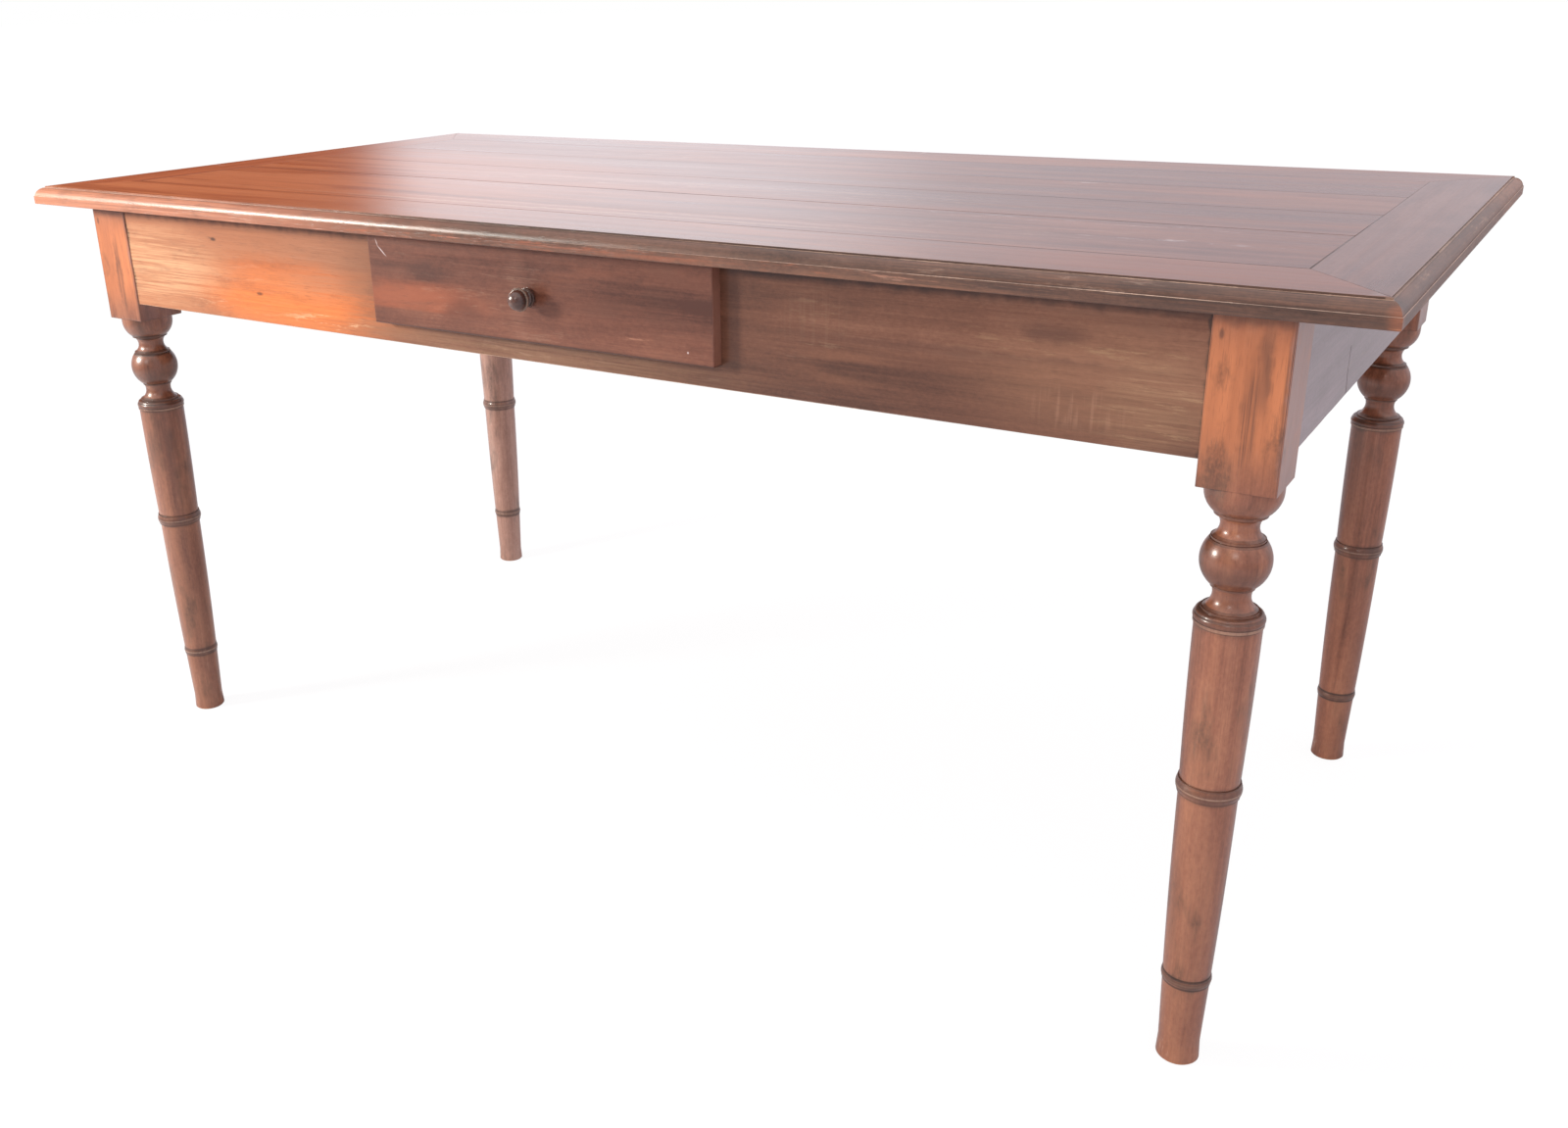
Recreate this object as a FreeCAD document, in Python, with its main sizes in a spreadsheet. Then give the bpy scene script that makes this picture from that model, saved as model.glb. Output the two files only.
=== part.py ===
import FreeCAD, Part
import os
import re
import Sketcher

# A farmhouse kitchen table in stained walnut: a mitred, moulded frame round four tongued
# planks, four turned legs, four tenoned aprons and one lipped drawer on wooden runners.
# Frame of the model: X along the table, -Y towards the drawer, +Z up, origin on the
# floor under the middle of the top. Millimetres throughout.

DIMENSIONS = (
    # the whole table
    ("table_height", 760),
    ("top_length", 1660),
    ("top_width", 818),
    ("top_thickness", 22),
    ("end_overhang", 76),
    ("side_overhang", 31),
    # mitred frame of the top and its moulded edge
    ("side_border", 104),
    ("end_border", 86.5),
    ("band_height", 10.5),
    ("band_arris", 1),
    ("ledge", 1),
    ("ovolo_width", 11),
    ("ovolo_height", 9.8),
    ("ovolo_swell", 2.5),
    ("key_length", 84),
    ("key_width", 30),
    # planks: the three joints between them, and the tongues that join everything
    ("joint_front", -120),
    ("joint_middle", 20),
    ("joint_rear", 162),
    ("tongue_thick", 7),
    ("tongue_reach", 8),
    ("tongue_play", 0.2),
    ("joint_gap", 0.2),
    # square posts and the mortise and tenon joints
    ("post_side", 65),
    ("post_bottom", 588),
    ("post_arris", 1),
    ("tenon_length", 40),
    ("tenon_thick", 9),
    ("tenon_cheek", 6.5),
    ("tenon_shoulder", 12),
    ("mortise_play", 1),
    # turned leg, from the floor up
    ("foot_radius", 20.3),
    ("foot_bevel", 1.4),
    ("ankle_radius", 19.4),
    ("ankle_height", 20),
    ("calf_radius", 21.8),
    ("low_ring_bottom", 89),
    ("low_ring_top", 98.5),
    ("low_ring_radius", 22.5),
    ("low_ring_swell", 0.8),
    ("shank_radius", 22.1),
    ("shank_top_radius", 26.2),
    ("shank_swell", 0.6),
    ("mid_ring_bottom", 293),
    ("mid_ring_top", 307),
    ("mid_ring_radius", 27.6),
    ("mid_ring_swell", 1.5),
    ("shaft_radius", 26.5),
    ("shaft_top_radius", 28.8),
    ("shaft_swell", 0.5),
    ("collar_bottom", 461),
    ("collar_radius", 29.8),
    ("collar_bead_bottom", 464),
    ("collar_bead_top", 469.4),
    ("collar_bead_swell", 0.9),
    ("torus_top", 473),
    ("torus_top_radius", 25.3),
    ("torus_swell", 1),
    ("collar_ring_radius", 24.5),
    ("collar_ring_top", 475.2),
    ("waist_hollow", 4),
    ("ball_radius", 29.9),
    ("ball_middle", 519.4),
    ("ball_bottom", 496),
    ("ball_top", 538),
    ("ball_ring_radius", 22.6),
    ("ball_ring_top", 540.2),
    ("neck_hollow", 5.2),
    ("cup_ring_bottom", 560.4),
    ("cup_bottom", 562.6),
    ("cup_bottom_radius", 23),
    ("cup_top", 582),
    ("cup_radius", 32.2),
    ("cup_swell", 2.4),
    ("fillet_height", 1.4),
    ("quirk", 0.8),
    # aprons
    ("apron_depth", 126.5),
    ("apron_thickness", 22),
    ("apron_setback", 1.5),
    # cleats and the screws that hold the top
    ("cleat_side", 24),
    ("cleat_end_gap", 13),
    ("cleat_drawer_gap", 30),
    ("screw_radius", 2),
    ("screw_head_radius", 4),
    ("screw_head_height", 3),
    ("screw_bite", 13),
    # drawer front
    ("drawer_middle", -5),
    ("drawer_width", 460),
    ("drawer_bottom", 636),
    ("drawer_top_gap", 1.5),
    ("lip_overlap", 10),
    ("lip_thick", 14),
    ("lip_gap", 0.3),
    ("lip_arris", 1.2),
    ("tongue_board", 12),
    ("tongue_board_drop", 2.5),
    # drawer box
    ("side_play", 1),
    ("run_play", 0.4),
    ("drawer_depth", 434),
    ("side_thick", 13),
    ("side_top", 733),
    ("back_thick", 12),
    ("back_top", 726),
    ("lap", 8),
    ("tail_root", 15),
    ("tail_flare", 1.6),
    ("panel_height", 9),
    ("panel_thick", 7),
    ("panel_groove", 5),
    ("panel_play", 0.1),
    ("nail_radius", 1.1),
    ("nail_head_radius", 2.4),
    ("nail_head_height", 1),
    ("nail_bite", 15),
    # runners and guides
    ("runner_width", 40),
    ("runner_thick", 20),
    ("guide_width", 20),
    ("guide_height", 25),
    ("guide_length", 480),
    ("stub_length", 8),
    ("stub_thick", 10),
    ("stub_width", 30),
    # turned knob
    ("knob_height", 685),
    ("spigot_radius", 4.5),
    ("knob_base_radius", 9.6),
    ("knob_base_thick", 4.2),
    ("knob_base_swell", 0.7),
    ("knob_neck_start_radius", 7.4),
    ("knob_neck_hollow", 2),
    ("knob_head_start", 12.2),
    ("knob_rim_radius", 11.8),
    ("knob_rim_start", 14),
    ("knob_rim_end", 17),
    ("knob_rim_swell", 0.8),
    ("knob_dome_radius", 11),
)
ALIASES = {alias for alias, size in DIMENSIONS}

document = FreeCAD.newDocument("kitchen_table")
sheet = document.addObject("Spreadsheet::Sheet", "Dimensions")
for row, (alias, size) in enumerate(DIMENSIONS, start=1):
    sheet.set(f"A{row}", alias)
    sheet.set(f"B{row}", str(size))
    sheet.setAlias(f"B{row}", alias)
document.recompute()

# Places worked out from the driving dimensions, as expressions.
HALF_LENGTH = "(top_length / 2)"
HALF_WIDTH = "(top_width / 2)"
UNDERSIDE = "(table_height - top_thickness)"
POST_END = "(top_length / 2 - end_overhang)"
POST_FACE = "(top_width / 2 - side_overhang)"
LEG_X = f"({POST_END} - post_side / 2)"
LEG_Y = f"({POST_FACE} - post_side / 2)"
POST_INNER_X = f"({POST_END} - post_side)"
POST_INNER_Y = f"({POST_FACE} - post_side)"
APRON_BOTTOM = f"({UNDERSIDE} - apron_depth)"
APRON_FACE = f"({POST_FACE} - apron_setback)"
APRON_BACK = f"({APRON_FACE} - apron_thickness)"
END_APRON_FACE = f"({POST_END} - apron_setback)"
END_APRON_BACK = f"({END_APRON_FACE} - apron_thickness)"
TENON_HEIGHT = "(apron_depth - 2 * tenon_shoulder)"
TENON_MIDDLE = f"({APRON_BOTTOM} + apron_depth / 2)"
TENON_INSET = "(apron_setback + tenon_cheek + tenon_thick / 2)"
PLANK_X = f"({HALF_LENGTH} - end_border)"
PLANK_Y = f"({HALF_WIDTH} - side_border)"
TONGUE_Z = "(top_thickness / 2)"

OPENING_BOTTOM = "(drawer_bottom + lip_overlap)"
OPENING_WIDTH = "(drawer_width - 2 * lip_overlap)"
BOX_WIDTH = f"({OPENING_WIDTH} - 2 * side_play)"
BOX_BOTTOM = f"({OPENING_BOTTOM} + run_play)"
LIP_BACK = f"(-{APRON_FACE} - lip_gap)"
LIP_FRONT = f"({LIP_BACK} - lip_thick)"
FRONT_INSIDE = f"({LIP_BACK} + tongue_board)"
BOX_END = f"({FRONT_INSIDE} + drawer_depth)"
BACK_FACE = f"({BOX_END} - back_thick)"
PANEL_BOTTOM = f"({BOX_BOTTOM} + panel_height)"
BACK_BOTTOM = f"({PANEL_BOTTOM} + panel_thick)"

SCREW_SPOTS_BACK = (-600, -200, 200, 600)
SCREW_SPOTS_FRONT_LEFT = (-600, -330)
SCREW_SPOTS_FRONT_RIGHT = (320, 600)
NAIL_SPOTS_GUIDE = (-320, -120, 80)
NAIL_SPOTS_BOTTOM = (-150, 0, 150)


def bound(text):
    """The expression with every dimension's name pointed at its cell."""
    def cell(match):
        word = match.group(0)
        return f"Dimensions.{word}" if word in ALIASES else word
    return re.sub(r"[a-z][a-z_]*", cell, str(text))


def number(text):
    """What the expression comes to now."""
    return float(sheet.evalExpression(bound(text)))


def new_body(label):
    body = document.addObject("PartDesign::Body", label)
    body.Label = label
    return body


def origin_plane(body, role):
    return next(plane for plane in body.Origin.OriginFeatures if plane.Role == role)


def arc_radius(corner, after):
    """Radius of the arc that leaves a corner, as an expression."""
    if isinstance(corner[2], tuple):
        centre = corner[2]
        return f"sqrt(({corner[0]} - ({centre[0]}))^2 + ({corner[1]} - ({centre[1]}))^2)"
    swell = f"abs({corner[2]})"
    chord_squared = f"(({after[0]} - ({corner[0]}))^2 + ({after[1]} - ({corner[1]}))^2)"
    return f"{chord_squared} / (8 * {swell}) + {swell} / 2"


def outline(body, name, plane, corners, level="0"):
    """Closed sketch through corners (x, y), (x, y, swell) or (x, y, (centre x, centre y)).

    A swell turns the edge to the next corner into an arc that stands out to the right of the
    way along by that much, or to the left where it starts with a minus. A centre turns it into
    an anticlockwise arc about that point.
    """
    sketch = body.newObject("Sketcher::SketchObject", name)
    sketch.AttachmentSupport = [(origin_plane(body, plane), "")]
    sketch.MapMode = "FlatFace"
    sketch.setExpression("AttachmentOffset.Base.z", bound(level))
    spots = [FreeCAD.Vector(number(corner[0]), number(corner[1]), 0) for corner in corners]
    ends = []
    for index, corner in enumerate(corners):
        start, end = spots[index], spots[(index + 1) % len(corners)]
        if len(corner) == 2:
            sketch.addGeometry(Part.LineSegment(start, end), False)
            ends.append((1, 2))
            continue
        chord = end - start
        if isinstance(corner[2], tuple):
            radius = number(arc_radius(corner, None))
            swell = radius - (radius ** 2 - chord.Length ** 2 / 4) ** 0.5
        else:
            swell = number(corner[2])
            radius = chord.Length ** 2 / (8 * abs(swell)) + abs(swell) / 2
        right = FreeCAD.Vector(chord.y, -chord.x, 0).normalize()
        inward = radius - abs(swell)
        centre = (start + end) / 2 - right * (inward if swell > 0 else -inward)
        first, last = (start, end) if swell > 0 else (end, start)
        circle = Part.Circle(centre, FreeCAD.Vector(0, 0, 1), radius)
        arc = Part.ArcOfCircle(circle, circle.parameter(first), circle.parameter(last))
        sketch.addGeometry(arc, False)
        ends.append((1, 2) if swell > 0 else (2, 1))
    for index in range(len(corners)):
        after = (index + 1) % len(corners)
        sketch.addConstraint(
            Sketcher.Constraint("Coincident", index, ends[index][1], after, ends[after][0]))
    for index, corner in enumerate(corners):
        for axis, kind, line in ((0, "DistanceX", -2), (1, "DistanceY", -1)):
            place = spots[index][axis]
            if corner[axis] == "0":
                sketch.addConstraint(
                    Sketcher.Constraint("PointOnObject", index, ends[index][0], line))
                continue
            driven = sketch.addConstraint(
                Sketcher.Constraint(kind, -1, 1, index, ends[index][0], place))
            sketch.setExpression(f"Constraints[{driven}]", bound(corner[axis]))
        if len(corner) == 3:
            radius = arc_radius(corner, corners[(index + 1) % len(corners)])
            driven = sketch.addConstraint(Sketcher.Constraint("Radius", index, number(radius)))
            sketch.setExpression(f"Constraints[{driven}]", bound(radius))
    return sketch


def pad(body, sketch, length, symmetric=False):
    feature = body.newObject("PartDesign::Pad", "pad")
    feature.Profile = sketch
    feature.setExpression("Length", bound(length))
    feature.SideType = "Symmetric" if symmetric else "One side"
    return feature


def pocket(body, sketch, length=None):
    """Cut through everything both ways, or to a length along the sketch's normal."""
    feature = body.newObject("PartDesign::Pocket", "pocket")
    feature.Profile = sketch
    if length is None:
        feature.Type = "ThroughAll"
        feature.SideType = "Symmetric"
    else:
        feature.setExpression("Length", bound(length))
        feature.Reversed = True
    return feature


def turn_about(body, sketch, axis):
    feature = body.newObject("PartDesign::Revolution", "turning")
    feature.Profile = sketch
    feature.ReferenceAxis = (sketch, [axis])
    feature.Angle = 360
    return feature


def set_place(thing, place, turn="0"):
    """Bind the base point, and a turn about Z in degrees."""
    for letter, text in zip("xyz", place):
        thing.setExpression(f"Placement.Base.{letter}", bound(text))
    if turn != "0":
        thing.Placement.Rotation = FreeCAD.Rotation(FreeCAD.Vector(0, 0, 1), 1)
        thing.setExpression("Placement.Rotation.Angle", bound(turn))


def set_box(box, size, middle, turn="0"):
    """Bind a box's size and the place of its middle."""
    for side, text in zip(("Length", "Width", "Height"), size):
        box.setExpression(side, bound(text))
    half_x, half_y, half_z = (f"({text}) / 2" for text in size)
    if turn == "0":
        corner = (f"{middle[0]} - {half_x}", f"{middle[1]} - {half_y}", f"{middle[2]} - {half_z}")
    else:
        corner = (f"{middle[0]} - ({half_x} * cos({turn}) - {half_y} * sin({turn}))",
                  f"{middle[1]} - ({half_x} * sin({turn}) + {half_y} * cos({turn}))",
                  f"{middle[2]} - {half_z}")
    set_place(box, corner, turn)


def add_block(body, name, size, middle):
    block = body.newObject("PartDesign::AdditiveBox", name)
    set_box(block, size, middle)
    return block


def cut_block(body, name, size, middle, turn="0"):
    block = body.newObject("PartDesign::SubtractiveBox", name)
    set_box(block, size, middle, turn)
    return block


def cut_drill(body, name, radius, depth, place):
    """A hole of that depth upwards from place."""
    drill = body.newObject("PartDesign::SubtractiveCylinder", name)
    drill.setExpression("Radius", bound(radius))
    drill.setExpression("Height", bound(depth))
    set_place(drill, place)
    return drill


def cut_screw_hole(body, place):
    """Clearance hole and countersink for a screw driven upwards from place."""
    sink = body.newObject("PartDesign::SubtractiveCone", "countersink")
    sink.setExpression("Radius1", bound("screw_head_radius"))
    sink.setExpression("Radius2", bound("screw_radius"))
    sink.setExpression("Height", bound("screw_head_height"))
    set_place(sink, place)
    cut_drill(body, "clearance", "screw_radius", "cleat_side", place)


def opposite(text):
    return f"-({text})"


# ---------------------------------------------------------------- the top

def mitre_key_place(border, other):
    """Middle of the loose tongue in a mitre, seen from the outer corner of a border.

    Returns how far it lies along the border, how far in, and the angle of the mitre.
    """
    reach = "0.53"
    along = f"({reach} * {other})"
    inwards = f"({reach} * {border})"
    angle = f"atan({border} / {other})"
    return along, inwards, angle


def make_border(label, length, border, other, place, quarter_turns, screws):
    """Board of the mitred frame: outer edge on y = 0, running along X, top face up.

    Its outer edge is a straight band, a ledge, an ovolo and a small fillet; its inner edge
    holds a groove, and its ends are mitred to meet a board of another width.
    """
    body = new_body(label)
    ovolo_end = "(ledge + ovolo_width)"
    ovolo_top = "(band_height + ovolo_height)"
    slot_bottom = f"({TONGUE_Z} - tongue_thick / 2 - tongue_play / 2)"
    slot_top = f"({TONGUE_Z} + tongue_thick / 2 + tongue_play / 2)"
    slot_floor = f"({border} - tongue_reach - tongue_play)"
    section = outline(body, "section", "YZ_Plane", (
        ("band_arris", "0"),
        (border, "0"),
        (border, slot_bottom),
        (slot_floor, slot_bottom),
        (slot_floor, slot_top),
        (border, slot_top),
        (border, "top_thickness"),
        (ovolo_end, "top_thickness"),
        (ovolo_end, ovolo_top, "ovolo_swell"),
        ("ledge", "band_height"),
        ("0", "band_height"),
        ("0", "band_arris", "band_arris * 0.29"),
    ))
    pad(body, section, length, symmetric=True)
    half = f"({length} / 2)"
    slope = f"({other} / {border})"
    for side in ("", "-"):
        mitre = outline(body, "mitre", "XY_Plane", (
            (f"{side}({half} + {slope})", "-1"),
            (f"{side}({half} - {other} - {slope})", f"{border} + 1"),
            (f"{side}({half} + {slope} + 1)", f"{border} + 1"),
        ))
        pocket(body, mitre)
    along, inwards, angle = mitre_key_place(border, other)
    for side in (1, -1):
        cut_block(body, "key_slot", ("key_length", "key_width", "tongue_thick"),
                  (f"{side} * ({half} - {along})", inwards, TONGUE_Z),
                  turn=f"{-side} * {angle}")
    for spot, inset in screws:
        cut_drill(body, "pilot", "screw_radius", "screw_bite", (str(spot), inset, "0"))
    set_place(body, place)
    body.Placement.Rotation = FreeCAD.Rotation(FreeCAD.Vector(0, 0, 1), 90 * quarter_turns)
    return body


def make_plank(label, front, rear, first, last):
    """One plank of the field. Tongues face the border boards and the plank in front of it."""
    body = new_body(label)
    half_thick = "tongue_thick / 2"
    half_slot = "(tongue_thick / 2 + tongue_play / 2)"
    near = front if first else f"({front} + joint_gap / 2)"
    far = rear if last else f"({rear} - joint_gap / 2)"
    corners = [
        (near, "0"),
        (far, "0"),
    ]
    if last:
        corners += [
            (far, f"{TONGUE_Z} - {half_thick}"),
            (f"{far} + tongue_reach", f"{TONGUE_Z} - {half_thick}"),
            (f"{far} + tongue_reach", f"{TONGUE_Z} + {half_thick}"),
            (far, f"{TONGUE_Z} + {half_thick}"),
        ]
    else:
        slot_floor = f"{far} - tongue_reach - tongue_play"
        corners += [
            (far, f"{TONGUE_Z} - {half_slot}"),
            (slot_floor, f"{TONGUE_Z} - {half_slot}"),
            (slot_floor, f"{TONGUE_Z} + {half_slot}"),
            (far, f"{TONGUE_Z} + {half_slot}"),
        ]
    corners += [
        (far, "top_thickness"),
        (near, "top_thickness"),
        (near, f"{TONGUE_Z} + {half_thick}"),
        (f"{near} - tongue_reach", f"{TONGUE_Z} + {half_thick}"),
        (f"{near} - tongue_reach", f"{TONGUE_Z} - {half_thick}"),
        (near, f"{TONGUE_Z} - {half_thick}"),
    ]
    section = outline(body, "section", "YZ_Plane", corners)
    pad(body, section, f"2 * {PLANK_X}", symmetric=True)
    for side in (1, -1):
        add_block(body, "end_tongue", ("tongue_reach", f"{far} - ({near})", "tongue_thick"),
                  (f"{side} * ({PLANK_X} + tongue_reach / 2)", f"({far} + {near}) / 2", TONGUE_Z))
        if not last:
            cut_block(body, "tongue_end_relief",
                      ("3 * tongue_reach", f"2 * (tongue_reach + tongue_play)",
                       "tongue_thick + tongue_play"),
                      (f"{side} * ({PLANK_X} + 2.5 * tongue_reach)", far, TONGUE_Z))
        cut_drill(body, "pilot", "screw_radius", "screw_bite",
                  (f"{side} * ({END_APRON_BACK} - cleat_side / 2)", f"({front} + {rear}) / 2", "0"))
    set_place(body, ("0", "0", UNDERSIDE))
    return body


PLANK_EDGES = (opposite(PLANK_Y), "joint_front", "joint_middle", "joint_rear", PLANK_Y)
PLANK_LABELS = ("plank_front", "plank_middle_front", "plank_middle_rear", "plank_rear")


def make_top():
    cleat_inset = f"(side_overhang + apron_setback + apron_thickness + cleat_side / 2)"
    front_screws = [(spot, cleat_inset)
                    for spot in SCREW_SPOTS_FRONT_LEFT + SCREW_SPOTS_FRONT_RIGHT]
    back_screws = [(spot, cleat_inset) for spot in SCREW_SPOTS_BACK]
    boards = [
        make_border("top_front_border", "top_length", "side_border", "end_border",
                    ("0", opposite(HALF_WIDTH), UNDERSIDE), 0, front_screws),
        make_border("top_back_border", "top_length", "side_border", "end_border",
                    ("0", HALF_WIDTH, UNDERSIDE), 2, back_screws),
        make_border("top_right_border", "top_width", "end_border", "side_border",
                    (HALF_LENGTH, "0", UNDERSIDE), 1, []),
        make_border("top_left_border", "top_width", "end_border", "side_border",
                    (opposite(HALF_LENGTH), "0", UNDERSIDE), 3, []),
    ]
    for index, label in enumerate(PLANK_LABELS):
        boards.append(make_plank(label, PLANK_EDGES[index], PLANK_EDGES[index + 1],
                                 first=index == 0, last=index == len(PLANK_LABELS) - 1))
    return boards


def make_mitre_keys():
    """Loose tongues, one in each mitre of the frame."""
    along, inwards, angle = mitre_key_place("side_border", "end_border")
    keys = []
    for x_side in (1, -1):
        for y_side in (1, -1):
            key = document.addObject("Part::Box", "mitre_key")
            set_box(key, ("key_length", "key_width", "tongue_thick"),
                    (f"{x_side} * ({HALF_LENGTH} - {along})",
                     f"{y_side} * ({HALF_WIDTH} - {inwards})",
                     f"{UNDERSIDE} + {TONGUE_Z}"),
                    turn=f"{x_side * y_side} * {angle}")
            keys.append(key)
    return make_group("mitre_keys", keys)


def make_group(label, pieces):
    """Separate like solids kept as one sub-part."""
    group = document.addObject("Part::Compound", label)
    group.Label = label
    group.Links = pieces
    return group


# ---------------------------------------------------------------- the legs

def ball_slice(height):
    """Radius of the ball at a height."""
    return f"sqrt(ball_radius^2 - ({height} - ball_middle)^2)"


def turned_profile():
    """Half outline of the turning, foot to post, as corners of a sketch."""
    foot = [
        ("0", "0"),
        ("foot_radius - foot_bevel", "0"),
        ("foot_radius", "foot_bevel"),
        ("ankle_radius", "ankle_height"),
        ("calf_radius", "low_ring_bottom"),
    ]
    low_ring = [
        ("low_ring_radius", "low_ring_bottom"),
        ("low_ring_radius", "low_ring_bottom + fillet_height", "low_ring_swell"),
        ("low_ring_radius", "low_ring_top - fillet_height"),
        ("low_ring_radius", "low_ring_top"),
        ("shank_radius", "low_ring_top", "shank_swell"),
        ("shank_top_radius", "mid_ring_bottom"),
    ]
    mid_ring = [
        ("mid_ring_radius", "mid_ring_bottom"),
        ("mid_ring_radius", "mid_ring_bottom + fillet_height", "mid_ring_swell"),
        ("mid_ring_radius", "mid_ring_top - fillet_height"),
        ("mid_ring_radius", "mid_ring_top"),
        ("shaft_radius", "mid_ring_top", "shaft_swell"),
        ("shaft_top_radius", "collar_bottom"),
    ]
    collar = [
        ("collar_radius", "collar_bottom"),
        ("collar_radius", "collar_bead_bottom - quirk / 2"),
        ("collar_radius - quirk / 2", "collar_bead_bottom", "collar_bead_swell"),
        ("collar_radius - quirk / 2", "collar_bead_top"),
        ("collar_radius - quirk", "collar_bead_top + quirk / 2", "torus_swell"),
        ("torus_top_radius", "torus_top"),
        ("collar_ring_radius", "torus_top"),
        ("collar_ring_radius", "collar_ring_top"),
        ("collar_ring_radius - fillet_height", "collar_ring_top", "-waist_hollow"),
    ]
    ball_low = ball_slice("ball_bottom")
    ball = [
        (f"{ball_low} - quirk", "ball_bottom - fillet_height"),
        (ball_low, "ball_bottom - fillet_height"),
        (ball_low, "ball_bottom", ("0", "ball_middle")),
        (ball_slice("ball_top"), "ball_top"),
        ("ball_ring_radius - quirk", "ball_top"),
        ("ball_ring_radius - quirk", "ball_top + quirk / 2"),
        ("ball_ring_radius", "ball_top + quirk / 2"),
        ("ball_ring_radius", "ball_ring_top"),
        ("ball_ring_radius - quirk", "ball_ring_top", "-neck_hollow"),
    ]
    cup = [
        ("cup_bottom_radius - 3 * quirk", "cup_ring_bottom"),
        ("cup_bottom_radius - quirk", "cup_ring_bottom"),
        ("cup_bottom_radius - quirk", "cup_bottom"),
        ("cup_bottom_radius", "cup_bottom", "cup_swell"),
        ("cup_radius", "cup_top"),
        ("cup_radius", "post_bottom + 1"),
        ("0", "post_bottom + 1"),
    ]
    return foot + low_ring + mid_ring + collar + ball + cup


def make_leg(label, x_side, y_side):
    """Turned leg with its square post, mortised for a long apron and an end apron."""
    body = new_body(label)
    turn_about(body, outline(body, "turning_profile", "XZ_Plane", turned_profile()), "V_Axis")
    half = "post_side / 2"
    cut = "post_side / 2 - post_arris"
    square = outline(body, "post_section", "XY_Plane", (
        (f"-({cut})", f"-({half})"),
        (cut, f"-({half})"),
        (half, f"-({cut})"),
        (half, cut),
        (cut, half),
        (f"-({cut})", half),
        (f"-({half})", cut),
        (f"-({half})", f"-({cut})"),
    ), level="post_bottom")
    pad(body, square, f"{UNDERSIDE} - post_bottom")
    deep = "(tenon_length + mortise_play)"
    across = f"(post_side / 2 - {TENON_INSET})"
    inwards = f"(post_side / 2 - {deep} / 2)"
    cut_block(body, "long_apron_mortise", (deep, "tenon_thick", TENON_HEIGHT),
              (f"{-x_side} * {inwards}", f"{y_side} * {across}", TENON_MIDDLE))
    cut_block(body, "end_apron_mortise", ("tenon_thick", deep, TENON_HEIGHT),
              (f"{x_side} * {across}", f"{-y_side} * {inwards}", TENON_MIDDLE))
    set_place(body, (f"{x_side} * {LEG_X}", f"{y_side} * {LEG_Y}", "0"))
    return body


def make_legs():
    corners = (("leg_front_left", -1, -1), ("leg_front_right", 1, -1),
               ("leg_back_left", -1, 1), ("leg_back_right", 1, 1))
    return [make_leg(label, x_side, y_side) for label, x_side, y_side in corners]


# ---------------------------------------------------------------- the aprons

def runner_x(side):
    """Middle of a runner, so that it carries a drawer side and a guide beside it."""
    return f"(drawer_middle + {side} * ({OPENING_WIDTH} / 2 + guide_width - runner_width / 2))"


def make_long_apron(label, y_side):
    body = new_body(label)
    middle_y = f"({APRON_FACE} - apron_thickness / 2)"
    add_block(body, "board", (f"2 * {POST_INNER_X}", "apron_thickness", "apron_depth"),
              ("0", f"{y_side} * {middle_y}", f"{APRON_BOTTOM} + apron_depth / 2"))
    for x_side in (-1, 1):
        add_block(body, "tenon", ("tenon_length", "tenon_thick", TENON_HEIGHT),
                  (f"{x_side} * ({POST_INNER_X} + tenon_length / 2)",
                   f"{y_side} * ({POST_FACE} - {TENON_INSET})", TENON_MIDDLE))
    for side in (-1, 1):
        cut_block(body, "runner_mortise", ("stub_width", "stub_length", "stub_thick"),
                  (runner_x(side), f"{y_side} * ({APRON_BACK} + stub_length / 2)",
                   f"{OPENING_BOTTOM} - runner_thick / 2"))
    return body


def make_end_apron(label, x_side):
    body = new_body(label)
    add_block(body, "board", ("apron_thickness", f"2 * {POST_INNER_Y}", "apron_depth"),
              (f"{x_side} * ({END_APRON_FACE} - apron_thickness / 2)", "0",
               f"{APRON_BOTTOM} + apron_depth / 2"))
    for y_side in (-1, 1):
        add_block(body, "tenon", ("tenon_thick", "tenon_length", TENON_HEIGHT),
                  (f"{x_side} * ({POST_END} - {TENON_INSET})",
                   f"{y_side} * ({POST_INNER_Y} + tenon_length / 2)", TENON_MIDDLE))
    return body


def make_aprons():
    front = make_long_apron("apron_front", -1)
    cut_block(front, "drawer_opening",
              (OPENING_WIDTH, "2 * apron_thickness", f"2 * ({UNDERSIDE} - {OPENING_BOTTOM})"),
              ("drawer_middle", opposite(APRON_FACE), UNDERSIDE))
    return [front, make_long_apron("apron_back", 1),
            make_end_apron("apron_left", -1), make_end_apron("apron_right", 1)]


# ---------------------------------------------------------------- cleats and screws

CLEAT_BOTTOM = f"({UNDERSIDE} - cleat_side)"
CLEAT_Y = f"({APRON_BACK} - cleat_side / 2)"
CLEAT_X = f"({END_APRON_BACK} - cleat_side / 2)"


def make_long_cleat(label, y_side, start, end, spots):
    """Square batten along a long apron from start to end, screwed up into the border."""
    body = new_body(label)
    add_block(body, "batten", (f"({end}) - ({start})", "cleat_side", "cleat_side"),
              (f"(({start}) + ({end})) / 2", f"{y_side} * {CLEAT_Y}",
               f"{UNDERSIDE} - cleat_side / 2"))
    places = [(str(spot), f"{y_side} * {CLEAT_Y}", CLEAT_BOTTOM) for spot in spots]
    for place in places:
        cut_screw_hole(body, place)
    return body, places


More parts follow.
